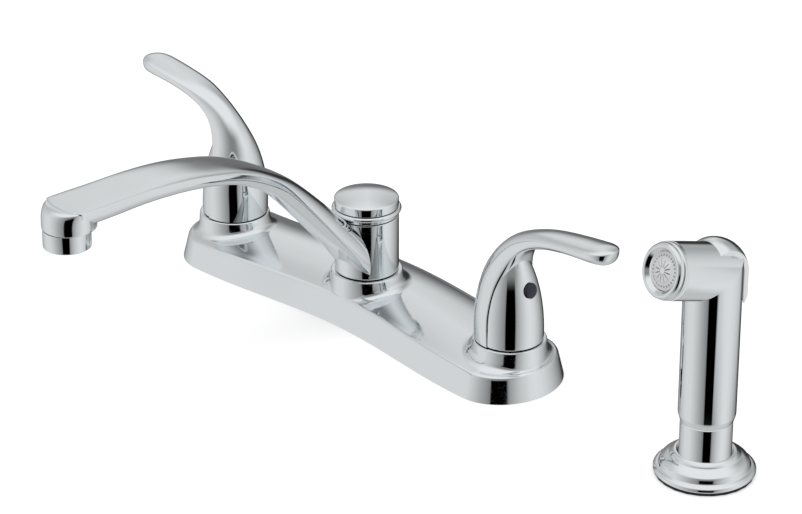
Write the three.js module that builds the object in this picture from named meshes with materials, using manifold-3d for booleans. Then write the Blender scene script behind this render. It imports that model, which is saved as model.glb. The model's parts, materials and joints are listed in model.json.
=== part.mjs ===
// Two handle kitchen faucet with a swing spout and a separate side sprayer.
// Millimetres, +Z up. The origin is on the sink deck under the middle of the deck plate,
// +X runs along the plate to the cold handle and -Y points to the person at the sink.

import * as THREE from 'three';
import { mergeVertices } from 'three/addons/utils/BufferGeometryUtils.js';
import Module from 'manifold-3d';

const wasm = await Module();
wasm.setup();

// ---------- driving dimensions ----------

// Clearances
const seatGap = 0.3; // between pieces that touch
const boreGap = 0.4; // round a post, stem or tube

// Deck plate
const handleSpacing = 203.2; // between the handle axes, the 8 inch standard
const plateOverhang = 24.4; // of the plate's ends beyond the handle axes
const plateEndHalfWidth = 30.3;
const plateFrontWaist = 22.3;
const plateBackWaist = 37.4;
const plateEndRound = 26; // length of each rounded end
const plateHeight = 13.4;
const plateArch = 1.8; // rise of the middle over the ends
const plateCrown = 3.4; // rise of the top over its front and back edges
const plateSideSlope = 2.6; // lean of the side wall, foot to shoulder
const plateShoulder = 2.2; // rounding between side wall and top
const plateWall = 2.6;
const gasketThickness = 1.8;

// Raised collars on the plate
const collarRadius = 18.4;
const collarHeight = 9.9; // over the plate's edges
const collarSpread = 0.5; // lean of the ring's wall
const collarFlare = 4.4;
const collarLip = 0.8;
const wellRadius = 15.6;
const wellFloor = 2.2; // thickness of the floor of each collar's well

// Valve bodies, shanks and what holds them under the deck
const deckThickness = 12; // room between the deck plate and the mounting washers
const shankRadius = 10.4;
const shankLength = 52;
const inletBoreRadius = 6.4;
const flangeRadius = 14;
const neckRadius = 10.4;
const neckHeight = 6.4; // above the well floor
const seatBoreRadius = 4.4;
const seatDepth = 9; // seat and spring bore below the deck surface
const ledgeHeight = 3;
const ledgeBoreRadius = 2.6;
const washerRadius = 18;
const washerThickness = 2;
const nutRadius = 15.5;
const nutHeight = 11;
const wingReach = 27;
const wingThickness = 3.4;

// Cross tubes between the valve bodies and the spout post
const tubeRadius = 3.6;
const tubeWall = 0.8;
const tubeHeight = 6.9; // axis above the deck
const socketDepth = 4;
const portRadius = 2.2;

// Cartridges, stems and handles
const cartridgeRadius = 7.8;
const stemRadius = 4.1;
const stemTop = 56; // above the deck
const bonnetHeight = 5;
const bonnetRadius = 14.6;
const seatRingHeight = 5;
const handleGap = 0.5; // dark joint between collar and handle
const handleRadius = 17.3;
const handleBodyHeight = 52.8;
const handleWall = 3.2;
const handleHollowHeight = 17;
const bossRadius = 7;
const leverReach = 67;
const leverHeight = 68.4; // lever tip above the foot of the handle
const buttonRadius = 3.9;
const buttonDepth = 2.4;
const buttonHeight = 29.6; // above the foot of the handle
const buttonTilt = 14; // degrees, square to the handle's side
const setScrewRadius = 2.4;

// Spout post and spout
const postRadius = 11.9;
const postThreadRadius = 10.6;
const postBoreRadius = 6.9;
const inletChamberRadius = 5.4;
const hubRadius = 16.4;
const hubHeight = 30.2;
const hubEdge = 0.7;
const bearingThickness = 1.3;
const bearingRecess = 2;
const ringSection = 0.65; // radius of an O-ring's section
const grooveHalfHeight = 1.1;
const nippleRadius = 6.6;
const nippleLength = 32;
const nippleBoreRadius = 3.2;
const spoutPortRadius = 3.2;
const spoutReach = 190;
const spoutRise = 121; // top edge of the arm above the deck
const armHalfWidth = 13.6;
const waterwayRadius = 4.6;
const tipRadius = 13;
const tipHeight = 11.4;
const tipSetback = 1.6; // of the tip's axis behind the aerator's
const tipDroop = 4; // fall of the arm's top over the front of the tip
const aeratorRadius = 11.4;
const aeratorHeight = 9;
const aeratorBoreRadius = 8.8;
const aeratorNeckRadius = 9.8;
const aeratorNeckHeight = 4;

// Spout nut and cap
const nutNeckHeight = 1.5;
const beadRadius = 17.7;
const beadHeight = 2.5;
const capRadius = 16.4;
const capBand = 3.8;
const capDome = 2.6;
const capPlugDepth = 5;

// Diverter inside the post
const diverterRadius = 6.5;
const diverterHeight = 22;
const diverterBoreRadius = 4.3;
const diverterLip = 2;
const diverterHoleRadius = 2.4;
const pistonHeight = 7;

// Side sprayer and its holder
const sprayerX = 229;
const sprayerYaw = -9; // degrees that the spray head stands turned in its holder
const holderRadius = 24.1;
const holderHeight = 12.2;
const sprayGasketThickness = 1.2;
const holderShankRadius = 15.4;
const holderShankLength = 38;
const holderStep = 2; // depth of the coupling's seat below the deck
const holderWall = 2.6; // wall of the shank below that seat
const couplingRadius = 12.4;
const couplingTop = 28;
const couplingNippleRadius = 7.6;
const couplingNippleHeight = 22;
const couplingBoreRadius = 4;
const couplingTaper = 2;
const gripRadius = 13.6;
const elbowHeight = 104.1;
const barrelTilt = 16; // degrees above level
const barrelLength = 27; // elbow to the joint of the nozzle ring
const gripBoreRadius = 4.4;
const chamberRadius = 8.6;
const chamberStart = 8.3;
const nozzleRingLength = 5.4;
const faceRadius = 9;
const faceThickness = 2;
const faceRecess = 1.2;
const sprayHoleRadius = 0.55;
const sprayHoleCount = 12;
const faceSealThickness = 1.2;
const thumbHalfWidth = 9.5;
const thumbThickness = 2.1;
const thumbLength = 15.6; // below the elbow's axis
const thumbFront = 7;
const thumbPressDepth = 2.9;
const pinRadius = 1.5;
const pinHeight = 9.1; // over the barrel's axis
const knuckleHalfWidth = 5.4;
const knuckleRadius = 3.1;
const valveRodRadius = 1.9;
const valveDiscRadius = 4.4;
const valveDiscThickness = 2;
const valveSeatThickness = 2;

// Facets round the turned pieces
const largeSides = 24;
const middleSides = 16;
const smallSides = 10;

// ---------- places that follow from them ----------

const postX = handleSpacing / 2;
const plateHalfLength = postX + plateOverhang;
const plateCavityTop = plateHeight - plateWall;
const collarTop = plateHeight + collarHeight;
const hubCollarTop = collarTop + plateArch;
const wellBottom = plateCavityTop + wellFloor;
const flangeBottom = gasketThickness + seatGap;
const flangeTop = plateCavityTop - seatGap;
const neckTop = wellBottom + neckHeight;
const cartridgeBottom = gasketThickness + 2;
const handleFoot = collarTop + handleGap;
const hubBottom = hubCollarTop + handleGap;
const hubTop = hubBottom + hubHeight;
const postTop = hubTop + nutNeckHeight + beadHeight - seatGap;
const nutBottom = hubTop + handleGap;
const capBottom = nutBottom + nutNeckHeight + beadHeight + seatGap;
const chamberFloor = tubeHeight - portRadius;
const diverterBottom = tubeHeight + tubeRadius + 2;
const tipTop = spoutRise + 1;
const tipBottom = tipTop - tipHeight;
const gripBottom = couplingTop + seatGap;
const nippleTop = couplingTop + couplingNippleHeight;
const holderBoreRadius = couplingRadius + boreGap;
const cutReach = barrelLength + 2.5 * gripRadius; // beyond every surface of the spray head
const radians = Math.PI / 180;

// ---------- solids ----------

// A closed solid from a geometry, whatever way round its faces are.
function toSolid(geometry) {
  const bare = geometry.index ? geometry.clone() : mergeVertices(geometry, 1e-5);
  bare.deleteAttribute('normal');
  bare.deleteAttribute('uv');
  const merged = mergeVertices(bare, 1e-4);
  const position = merged.attributes.position;
  const index = Array.from(merged.index.array);
  const triangles = [];
  for (let i = 0; i < index.length; i += 3) {
    const [a, b, c] = index.slice(i, i + 3);
    if (a !== b && b !== c && a !== c) triangles.push([a, b, c]);
  }
  const corner = (i) => new THREE.Vector3().fromBufferAttribute(position, i);
  let volume = 0;
  for (const [a, b, c] of triangles) volume += corner(a).dot(corner(b).cross(corner(c)));
  if (volume < 0) triangles.forEach((triangle) => triangle.reverse());
  return new wasm.Manifold(new wasm.Mesh({
    numProp: 3,
    vertProperties: Float32Array.from(position.array),
    triVerts: Uint32Array.from(triangles.flat()),
  }));
}

function toGeometry(solid) {
  const mesh = solid.getMesh();
  const positions = new Float32Array(mesh.numVert * 3);
  for (let i = 0; i < mesh.numVert; i++) {
    for (let k = 0; k < 3; k++) positions[3 * i + k] = mesh.vertProperties[mesh.numProp * i + k];
  }
  const geometry = new THREE.BufferGeometry();
  geometry.setAttribute('position', new THREE.BufferAttribute(positions, 3));
  geometry.setIndex(Array.from(mesh.triVerts));
  geometry.computeVertexNormals();
  return geometry;
}

const join = (first, ...others) => others.reduce((sum, other) => sum.add(other), first);
const cut = (first, ...tools) => tools.reduce((rest, tool) => rest.subtract(tool), first);
const overlap = (first, ...others) => others.reduce((common, other) => common.intersect(other), first);

// A profile of [radius, height] points turned about the Z axis.
function turned(profile, sides = largeSides) {
  const points = profile.map(([radius, height]) => new THREE.Vector2(radius, height));
  return toSolid(new THREE.LatheGeometry(points, sides).rotateX(Math.PI / 2));
}

const rod = (radius, bottom, top, sides = middleSides) => turned(
  [[0, bottom], [radius, bottom], [radius, top], [0, top]], sides);

const ring = (inner, outer, bottom, top, sides = middleSides) => turned(
  [[inner, bottom], [outer, bottom], [outer, top], [inner, top], [inner, bottom]], sides);

// An O-ring about the Z axis.
const torus = (radius, section, height, sides = middleSides) => toSolid(
  new THREE.TorusGeometry(radius, section, 8, sides).translate(0, 0, height));

function box(low, high) {
  const size = high.map((value, axis) => value - low[axis]);
  const middle = high.map((value, axis) => (value + low[axis]) / 2);
  return toSolid(new THREE.BoxGeometry(...size).translate(...middle));
}

// A rod along X or Y, from one coordinate to the other, through [a, b] of the other two axes.
function rodAlong(axis, radius, from, to, a, b, sides = smallSides) {
  const upright = rod(radius, from, to, sides);
  if (axis === 'x') return upright.rotate([0, 90, 0]).translate([0, a, b]);
  return upright.rotate([-90, 0, 0]).translate([a, 0, b]);
}

// A solid through rings of points, closed by a fan at each end.
function loft(rings) {
  const count = rings[0].length;
  const middleOf = (loop) => loop.reduce((sum, p) => sum.add(p), new THREE.Vector3()).divideScalar(count);
  const points = [...rings.flat(), middleOf(rings[0]), middleOf(rings[rings.length - 1])];
  const last = (rings.length - 1) * count;
  const index = [];
  for (let r = 0; r < rings.length - 1; r++) {
    for (let i = 0; i < count; i++) {
      const a = r * count + i;
      const b = r * count + (i + 1) % count;
      index.push(a, b, b + count, a, b + count, a + count);
    }
  }
  for (let i = 0; i < count; i++) {
    const next = (i + 1) % count;
    index.push(rings.length * count, next, i, rings.length * count + 1, last + i, last + next);
  }
  const geometry = new THREE.BufferGeometry().setFromPoints(points);
  geometry.setIndex(index);
  return toSolid(geometry);
}

// One rounded section. right and up span its plane; the widest line runs through the centre,
// with the crown above it and the keel below, each squarer as its power grows.
function section(centre, right, up, halfWidth, crown, keel, crownPower, keelPower, count) {
  const rounded = (value, power) => Math.sign(value) * Math.abs(value) ** (2 / power);
  return Array.from({ length: count }, (_, i) => {
    const angle = (i / count) * 2 * Math.PI;
    const upper = Math.sin(angle) >= 0;
    const power = upper ? crownPower : keelPower;
    const across = halfWidth * rounded(Math.cos(angle), power);
    const height = (upper ? crown : keel) * rounded(Math.sin(angle), power);
    return centre.clone().addScaledVector(right, across).addScaledVector(up, height);
  });
}

// ---------- deck plate ----------

const endSteps = 5;
const middleSteps = 8;
const flatEnd = plateHalfLength - plateEndRound;

// How far x lies towards the rounded ends, 0 in the middle to 1 where they start.
const towardsEnd = (x) => Math.min(Math.abs(x) / flatEnd, 1);
const plateTop = (x) => plateHeight + plateArch * (1 - towardsEnd(x) ** 2);

// The front and back of the plate's crescent outline at x, drawn in by the inset.
function plateEdges(x, inset) {
  const reach = Math.max(Math.abs(x) - flatEnd, 0) / (plateEndRound - inset);
  const cap = Math.sqrt(Math.max(1 - reach ** 2, 0));
  const ease = (1 - Math.cos(Math.PI * towardsEnd(x))) / 2;
  const half = (waist) => (waist + (plateEndHalfWidth - waist) * ease - inset) * cap;
  return { x, cap, front: -half(plateFrontWaist), back: half(plateBackWaist) };
}

function plateStations(inset) {
  const places = [];
  for (let i = 0; i < endSteps; i++) {
    places.push(flatEnd + (plateEndRound - inset) * Math.cos((i / endSteps) * Math.PI / 2));
  }
  for (let i = 0; i <= middleSteps; i++) places.push(flatEnd * (1 - 2 * i / middleSteps));
  for (let i = endSteps - 1; i >= 0; i--) places.push(-places[i]);
  return places.map((x) => plateEdges(x, inset));
}

// How far the crowned top rises at a share of the way from the front edge to the back edge.
const crownRise = (share, cap) => plateCrown * (1 - (2 * share - 1) ** 2) * cap ** 2;
const crownRows = 6;

// A block with the plate's outline; each level is an inset and a height that may follow x.
// A crowned block has its top raised along the middle.
function plateBlock(levels, crowned = false) {
  const stations = levels.map(([inset]) => plateStations(inset));
  const count = stations[0].length;
  const points = [];
  levels.forEach(([, height], level) => {
    const edge = [
      ...stations[level].map(({ x, front }) => [x, front]),
      ...stations[level].slice(1, -1).reverse().map(({ x, back }) => [x, back]),
    ];
    edge.forEach(([x, y]) => points.push(new THREE.Vector3(x, y, height(x))));
  });
  const around = 2 * count - 2;
  const index = [];
  for (let level = 0; level < levels.length - 1; level++) {
    for (let i = 0; i < around; i++) {
      const a = level * around + i;
      const b = level * around + (i + 1) % around;
      index.push(a, b, b + around, a, b + around, a + around);
    }
  }
  const topBase = (levels.length - 1) * around;
  const backOf = (i) => (around - i) % around;
  const rows = crowned ? crownRows : 1;
  const topRow = stations[levels.length - 1].map(({ x, cap, front, back }, i) => {
    const row = [topBase + i];
    for (let k = 1; k < rows; k++) {
      const share = k / rows;
      const z = levels[levels.length - 1][1](x) + crownRise(share, cap);
      row.push(points.push(new THREE.Vector3(x, front + (back - front) * share, z)) - 1);
    }
    return [...row, topBase + backOf(i)];
  });
  for (let i = 0; i < count - 1; i++) {
    const quad = [backOf(i), backOf(i + 1), i + 1, i];
    index.push(quad[0], quad[1], quad[2], quad[0], quad[2], quad[3]);
    for (let k = 0; k < rows; k++) {
      const [a, b, c, d] = [topRow[i][k], topRow[i + 1][k], topRow[i + 1][k + 1], topRow[i][k + 1]];
      index.push(a, b, c, a, c, d);
    }
  }
  const geometry = new THREE.BufferGeometry().setFromPoints(points);
  geometry.setIndex(index);
  return toSolid(geometry);
}

// The height of the plate's top at a place.
const topInset = plateSideSlope + plateShoulder;
function plateSurface(x, y) {
  const { cap, front, back } = plateEdges(x, topInset);
  const share = back > front ? (y - front) / (back - front) : 0;
  return plateTop(x) + crownRise(Math.min(Math.max(share, 0), 1), cap);
}

// The raised ring round a post at x, flared into the plate's top as far as the top reaches.
function collar(x, top) {
  const foot = collarRadius + collarSpread;
  const corners = Array.from({ length: largeSides }, (_, i) => {
    const [across, along] = [Math.cos, Math.sin].map((turn) => turn((i / largeSides) * 2 * Math.PI));
    let flare = collarFlare;
    for (; flare > collarFlare / 10; flare *= 0.9) {
      const { front, back } = plateEdges(x + (foot + flare) * across, topInset);
      const y = (foot + flare) * along;
      if (y > front && y < back) break;
    }
    return { across, along, flare };
  });
  const circle = (reach, height) => corners.map(({ across, along, flare }) => {
    const radius = reach(flare);
    const place = [x + radius * across, radius * along];
    return new THREE.Vector3(...place, height(flare, ...place));
  });
  const rings = [circle((flare) => foot + flare, () => plateHeight - plateWall / 2)];
  for (let step = 0; step <= 3; step++) {
    const angle = (step / 3) * Math.PI / 2;
    rings.push(circle(
      (flare) => foot + flare * (1 - Math.sin(angle)),
      (flare, ...place) => plateSurface(...place) + 0.8 * flare * (1 - Math.cos(angle))));
  }
  rings.push(circle(() => collarRadius, () => top - collarLip));
  rings.push(circle(() => collarRadius - collarLip, () => top));
  return loft(rings);
}

const postPlaces = [[-postX, collarTop], [0, hubCollarTop], [postX, collarTop]];

function deckPlate() {
  const outer = plateBlock([
    [0, () => 0],
    [plateSideSlope, (x) => plateTop(x) - plateShoulder],
    [plateSideSlope + plateShoulder * 0.3, (x) => plateTop(x) - plateShoulder * 0.3],
    [topInset, plateTop],
  ], true);
  const outline = plateBlock([
    [0, () => 0],
    [plateSideSlope, (x) => plateTop(x) - plateShoulder],
    [plateSideSlope, () => 2 * hubCollarTop],
  ]);
  const cavity = plateBlock([
    [plateWall, () => -1],
    [plateWall, () => gasketThickness + 1],
    [plateWall + plateSideSlope, () => plateCavityTop],
  ]);
  let plate = cut(outer, cavity);
  for (const [x, top] of postPlaces) {
    const well = x
      ? rod(wellRadius, wellBottom, top + 1, largeSides)
      : rod(postRadius + boreGap, 0, top + 1);
    const under = rod(flangeRadius + 1.2, 0, plateCavityTop);
    const neck = rod(neckRadius + boreGap, plateCavityTop - 1, top);
    plate = join(plate, overlap(collar(x, top), outline));
    plate = cut(plate, well.translate([x, 0, 0]), neck.translate([x, 0, 0]), under.translate([x, 0, 0]));
  }
  return plate;
}

function deckGasket() {
  const sheet = plateBlock([
    [plateWall + boreGap, () => 0],
    [plateWall + boreGap, () => gasketThickness],
  ]);
  const hole = (x, radius) => rod(radius, -1, gasketThickness + 1).translate([x, 0, 0]);
  return cut(sheet,
    hole(-postX, shankRadius + boreGap),
    hole(postX, shankRadius + boreGap),
    hole(0, nippleRadius + boreGap));
}

// ---------- valves under the handles ----------

// A brass valve body on the Z axis; its tube socket faces side, +1 or -1 along X.
function valveBody(side) {
  const body = turned([
    [inletBoreRadius, -shankLength],
    [shankRadius, -shankLength],
    [shankRadius, flangeBottom],
    [flangeRadius, flangeBottom],
    [flangeRadius, flangeTop],
    [neckRadius, flangeTop],
    [neckRadius, neckTop],
    [cartridgeRadius + boreGap, neckTop],
    [cartridgeRadius + boreGap, cartridgeBottom],
    [seatBoreRadius, cartridgeBottom],
    [seatBoreRadius, -seatDepth],
    [ledgeBoreRadius, -seatDepth],
    [ledgeBoreRadius, -seatDepth - ledgeHeight],
    [inletBoreRadius, -seatDepth - ledgeHeight],
    [inletBoreRadius, -shankLength],
  ]);
  return cut(body, ...tubeSocket(side));
}

// The socket and port that a cross tube ends in.
function tubeSocket(side) {
  const socketEnd = flangeRadius - socketDepth;
  const along = (radius, near, far) => rodAlong(
    'x', radius, Math.min(side * near, side * far), Math.max(side * near, side * far), 0, tubeHeight);
  return [
    along(tubeRadius + seatGap, socketEnd, flangeRadius + 1),
    along(portRadius, 0, socketEnd + 1),
  ];
}

function crossTube() {
  const length = postX - 2 * (flangeRadius - socketDepth + seatGap);
  const start = flangeRadius - socketDepth + seatGap;
  return cut(
    rodAlong('x', tubeRadius, start, start + length, 0, tubeHeight),
    rodAlong('x', tubeRadius - tubeWall, start - 1, start + length + 1, 0, tubeHeight));
}

const mountingWasher = (shank, radius) => ring(
  shank + seatGap, radius, -deckThickness - washerThickness, -deckThickness);

// A plastic nut with two wings, turned by hand under the deck.
function wingNut(shank, radius, reach) {
  const top = -deckThickness - washerThickness - seatGap;
  const wings = box([-reach, -wingThickness / 2, top - nutHeight], [reach, wingThickness / 2, top - 2]);
  const body = turned([[0, top - nutHeight], [radius - 1, top - nutHeight], [radius, top - 2],
    [radius + 1.4, top - 2], [radius + 1.4, top], [0, top]]);
  return cut(join(body, wings), rod(shank + seatGap, top - nutHeight - 1, top + 1));
}

const valveSeat = () => ring(
  ledgeBoreRadius - 1, seatBoreRadius - seatGap, cartridgeBottom - seatGap - seatRingHeight,
  cartridgeBottom - seatGap, smallSides);

const seatSpring = () => ring(
  ledgeBoreRadius, seatBoreRadius - boreGap, -seatDepth + seatGap,
  cartridgeBottom - 2 * seatGap - seatRingHeight, smallSides);

// The plastic sleeve that the stem turns in.
function cartridge() {
  const top = neckTop + 3;
  return turned([
    [stemRadius + boreGap, cartridgeBottom + seatGap],
    [cartridgeRadius, cartridgeBottom + seatGap],
    [cartridgeRadius, neckTop + seatGap],
    [cartridgeRadius - 1.4, top],
    [stemRadius + boreGap, top],
    [stemRadius + boreGap, cartridgeBottom + seatGap],
  ], middleSides);
}

// The hexagonal nut in the collar's well that holds the plate and the valve together.
function bonnetNut() {
  const bottom = wellBottom + seatGap;
  return cut(rod(bonnetRadius, bottom, bottom + bonnetHeight, 6),
    rod(neckRadius + seatGap, bottom - 1, bottom + bonnetHeight + 1));
}

function stem() {
  const collarStep = 1.6;
  return turned([
    [0, cartridgeBottom + 1],
    [stemRadius, cartridgeBottom + 1],
    [stemRadius, neckTop + 3 + seatGap],
    [stemRadius + collarStep, neckTop + 3 + seatGap],
    [stemRadius + collarStep, neckTop + 4.5],
    [stemRadius, neckTop + 4.5],
    [stemRadius, stemTop - 1],
    [stemRadius - 1, stemTop],
    [0, stemTop],
  ], smallSides);
}

// ---------- handles ----------

// The egg-shaped body under the lever, by its share of the height.
function handleBodyRadius(share) {
  const start = 0.04; // the side is upright up to here
  const rise = Math.max((share - start) / (1 - start), 0);
  return handleRadius * (1 - rise ** 2.15) ** 0.7;
}

// Sections of the lever, from the foot of the handle to the tip. Each row holds shares of the
// reach and the height, the tilt of its outer side in degrees, then shares of the handle's
// radius for the half width, the crown outside and the keel inside.
const leverRows = [
  [0.004, 0.000, 0, 0.985, 0.985, 0.17],
  [0.000, 0.150, 2, 0.995, 0.990, 0.17],
  [0.000, 0.278, 5, 0.945, 0.935, 0.17],
  [0.015, 0.449, 15, 0.780, 0.860, 0.17],
  [0.058, 0.595, 32, 0.560, 0.700, 0.18],
  [0.131, 0.719, 47, 0.390, 0.550, 0.11],
  [0.226, 0.822, 60, 0.385, 0.365, 0.16],
  [0.336, 0.896, 74, 0.430, 0.185, 0.26],
  [0.438, 0.910, 80, 0.455, 0.150, 0.225],
  [0.555, 0.924, 82, 0.470, 0.150, 0.18],
  [0.686, 0.942, 83, 0.480, 0.150, 0.20],
  [0.803, 0.959, 84, 0.484, 0.150, 0.27],
  [0.890, 0.973, 85, 0.466, 0.140, 0.335],
  [0.949, 0.981, 88, 0.384, 0.120, 0.336],
  [0.985, 0.983, 95, 0.250, 0.095, 0.27],
  [1.000, 0.980, 105, 0.095, 0.060, 0.16],
];

function leverSection([reach, height, tilt, halfWidth, crown, keel]) {
  const centre = new THREE.Vector3(reach * leverReach, 0, handleFoot + height * leverHeight);
  const right = new THREE.Vector3(0, 1, 0);
  const up = new THREE.Vector3(-Math.cos(tilt * radians), 0, Math.sin(tilt * radians));
  return section(centre, right, up, halfWidth * handleRadius, crown * handleRadius,
    keel * handleRadius, 2.2, 2.6, 16);
}

// A handle whose lever points along +X. The button and its screw come in from that side.
function handle() {
  const shares = [0, 0.1, 0.2, 0.32, 0.43, 0.53, 0.62, 0.71, 0.78, 0.84];
  const profile = shares.map((share) => [handleBodyRadius(share), handleFoot + share * handleBodyHeight]);
  const body = turned([[0, handleFoot], ...profile, [0, handleFoot + 0.93 * handleBodyHeight]]);
  const hollowTop = handleFoot + handleHollowHeight;
  const hollow = ring(bossRadius, handleRadius - handleWall, handleFoot - 1, hollowTop);
  const stemBore = rod(stemRadius + seatGap, handleFoot - 1, stemTop + seatGap, smallSides);
  const mouth = rod(bossRadius + 1, handleFoot - 1, neckTop + 4.5 + boreGap);
  const screwBore = buttonPlaced(rod(setScrewRadius + seatGap, -13, 1, smallSides));
  const buttonBore = buttonPlaced(rod(buttonRadius + seatGap, -buttonDepth, 6, smallSides));
  return cut(join(body, loft(leverRows.map(leverSection))),
    hollow, stemBore, mouth, screwBore, buttonBore);
}

// Moves a solid on the Z axis to the button's axis, its zero on the handle's side.
function buttonPlaced(solid) {
  const side = handleBodyRadius(buttonHeight / handleBodyHeight);
  return solid.rotate([0, 90 - buttonTilt, 0]).translate([side, 0, handleFoot + buttonHeight]);
}

const indexButton = () => buttonPlaced(turned([
  [0, -buttonDepth + seatGap], [buttonRadius, -buttonDepth + seatGap], [buttonRadius, 0.1],
  [buttonRadius - 0.6, 0.5], [0, 0.7],
], smallSides));

function setScrew() {
  const depth = handleBodyRadius(buttonHeight / handleBodyHeight) - stemRadius;
  const length = depth / Math.cos(buttonTilt * radians);
  const socket = rod(1.2, -buttonDepth - 2, 0, 6);
  return buttonPlaced(cut(rod(setScrewRadius, -length + 1.2, -buttonDepth, smallSides), socket));
}

// ---------- spout post ----------

const ringHeights = [hubBottom + 5, hubTop - 5];
const bearingHeights = [hubCollarTop + seatGap, hubTop - bearingThickness];

function spoutPost() {
  const groove = (height) => [
    [postRadius, height - grooveHalfHeight],
    [postRadius - 1.5, height - grooveHalfHeight],
    [postRadius - 1.5, height + grooveHalfHeight],
    [postRadius, height + grooveHalfHeight],
  ];
  const body = turned([
    [nippleBoreRadius, -nippleLength],
    [nippleRadius, -nippleLength],
    [nippleRadius, flangeBottom],
    [flangeRadius, flangeBottom],
    [flangeRadius, flangeTop],
    [neckRadius, flangeTop],
    [neckRadius, wellBottom + 1],
    [postRadius, wellBottom + 1],
    ...groove(ringHeights[0]),
    ...groove(ringHeights[1]),
    [postRadius, hubTop - 0.5],
    [postThreadRadius, hubTop - 0.5],
    [postThreadRadius, postTop],
    [postBoreRadius, postTop],
    [postBoreRadius, diverterBottom],
    [inletChamberRadius, diverterBottom],
    [inletChamberRadius, chamberFloor],
    [nippleBoreRadius, chamberFloor],
    [nippleBoreRadius, -nippleLength],
  ]);
  const portHeight = (hubBottom + hubTop) / 2;
  const spoutPorts = rodAlong('y', spoutPortRadius, -postRadius - 1, postRadius + 1, 0, portHeight);
  return cut(body, ...tubeSocket(1), ...tubeSocket(-1), spoutPorts);
}

const spoutRing = (height) => torus(postRadius - 1.5 + seatGap + ringSection, ringSection, height);

const spoutBearing = (bottom) => ring(
  postRadius + boreGap, hubRadius - bearingRecess - seatGap, bottom, bottom + bearingThickness);

// The plastic cage of the diverter, open at both ends for the water.
function diverterBody() {
  const bottom = diverterBottom + seatGap;
  const top = bottom + diverterHeight;
  return turned([
    [diverterHoleRadius, bottom],
    [diverterRadius, bottom],
    [diverterRadius, top],
    [diverterHoleRadius, top],
    [diverterHoleRadius, top - diverterLip],
    [diverterBoreRadius, top - diverterLip],
    [diverterBoreRadius, bottom + diverterLip],
    [diverterHoleRadius, bottom + diverterLip],
    [diverterHoleRadius, bottom],
  ], smallSides);
}

const pistonBottom = diverterBottom + diverterLip + 2 * seatGap;
const diverterPiston = () => turned([
  [0, pistonBottom], [diverterBoreRadius - 1.6, pistonBottom],
  [diverterBoreRadius - seatGap, pistonBottom + 1.3],
  [diverterBoreRadius - seatGap, pistonBottom + pistonHeight], [0, pistonBottom + pistonHeight],
], smallSides);

const diverterSpring = () => ring(
  diverterBoreRadius - 1.6, diverterBoreRadius - boreGap, pistonBottom + pistonHeight + seatGap,
  diverterBottom + diverterHeight - diverterLip, smallSides);

function spoutNut() {
  const beadBottom = nutBottom + nutNeckHeight;
  const inset = beadRadius - hubRadius;
  return turned([
    [postThreadRadius + seatGap, nutBottom],
    [hubRadius - 0.4, nutBottom],
    [hubRadius, nutBottom + 0.4],
    [hubRadius, beadBottom],
    [beadRadius - inset * 0.3, beadBottom + beadHeight * 0.15],
    [beadRadius, beadBottom + beadHeight * 0.5],
    [beadRadius - inset * 0.3, beadBottom + beadHeight * 0.85],
    [hubRadius, beadBottom + beadHeight],
    [postThreadRadius + seatGap, beadBottom + beadHeight],
    [postThreadRadius + seatGap, nutBottom],
  ]);
}

// The domed cap on the nut, with a plug that closes the post.
function spoutCap() {
  const plugRadius = postBoreRadius - seatGap;
  const bandTop = capBottom + capBand;
  const dome = [];
  for (let step = 1; step <= 4; step++) {
    const share = step / 5;
    const rise = 0.9 + (capDome - 0.9) * (1 - (1 - share) ** 2);
    dome.push([(capRadius - 1.2) * (1 - share * 0.9), bandTop + rise]);
  }
  return turned([
    [0, capBottom - capPlugDepth],
    [plugRadius, capBottom - capPlugDepth],
    [plugRadius, capBottom],
    [capRadius, capBottom],
    [capRadius, bandTop - 0.6],
    [capRadius - 0.3, bandTop + 0.2],
    [capRadius - 1.2, bandTop + 0.9],
    ...dome,
    [0, bandTop + capDome],
  ]);
}

// ---------- spout ----------

// Sections of the arm from the hub to the tip. Each row holds shares of the reach and the
// rise for the widest line, the climb of the arm in degrees, then shares of the half width
// for the half width itself, the crown and the keel.
const armRows = [
  [0.034, 0.203, 50, 0.93, 1.19, 0.20],
  [0.070, 0.282, 52, 0.99, 1.05, 0.18],
  [0.105, 0.355, 49, 1.00, 0.93, 0.18],
  [0.152, 0.446, 47, 1.00, 0.80, 0.26],
  [0.211, 0.557, 47, 1.00, 0.67, 0.30],
  [0.307, 0.726, 43, 1.00, 0.48, 0.37],
  [0.363, 0.811, 35, 1.00, 0.27, 0.51],
  [0.421, 0.867, 29, 1.01, 0.22, 0.54],
  [0.489, 0.913, 20, 1.02, 0.18, 0.52],
  [0.558, 0.943, 14, 1.03, 0.14, 0.53],
  [0.632, 0.968, 9, 1.02, 0.11, 0.56],
  [0.716, 0.985, 5, 1.00, 0.08, 0.59],
  [0.800, 0.994, 2, 0.97, 0.06, 0.62],
  [0.874, 0.996, 1, 0.965, 0.06, 0.65],
  [0.937, 0.999, 1, 0.965, 0.06, 0.67],
  [1.000, 1.002, 1, 0.955, 0.05, 0.66],
];

function armSection([reach, rise, climb, halfWidth, crown, keel], along) {
  const centre = new THREE.Vector3(0, -reach * spoutReach, rise * spoutRise);
  const right = new THREE.Vector3(1, 0, 0);
  const up = new THREE.Vector3(0, Math.sin(climb * radians), Math.cos(climb * radians));
  const squareness = 2.1 + 1.6 * along;
  return section(centre, right, up, halfWidth * armHalfWidth, crown * armHalfWidth,
    keel * armHalfWidth, squareness, squareness - 0.1, 20);
}

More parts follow.
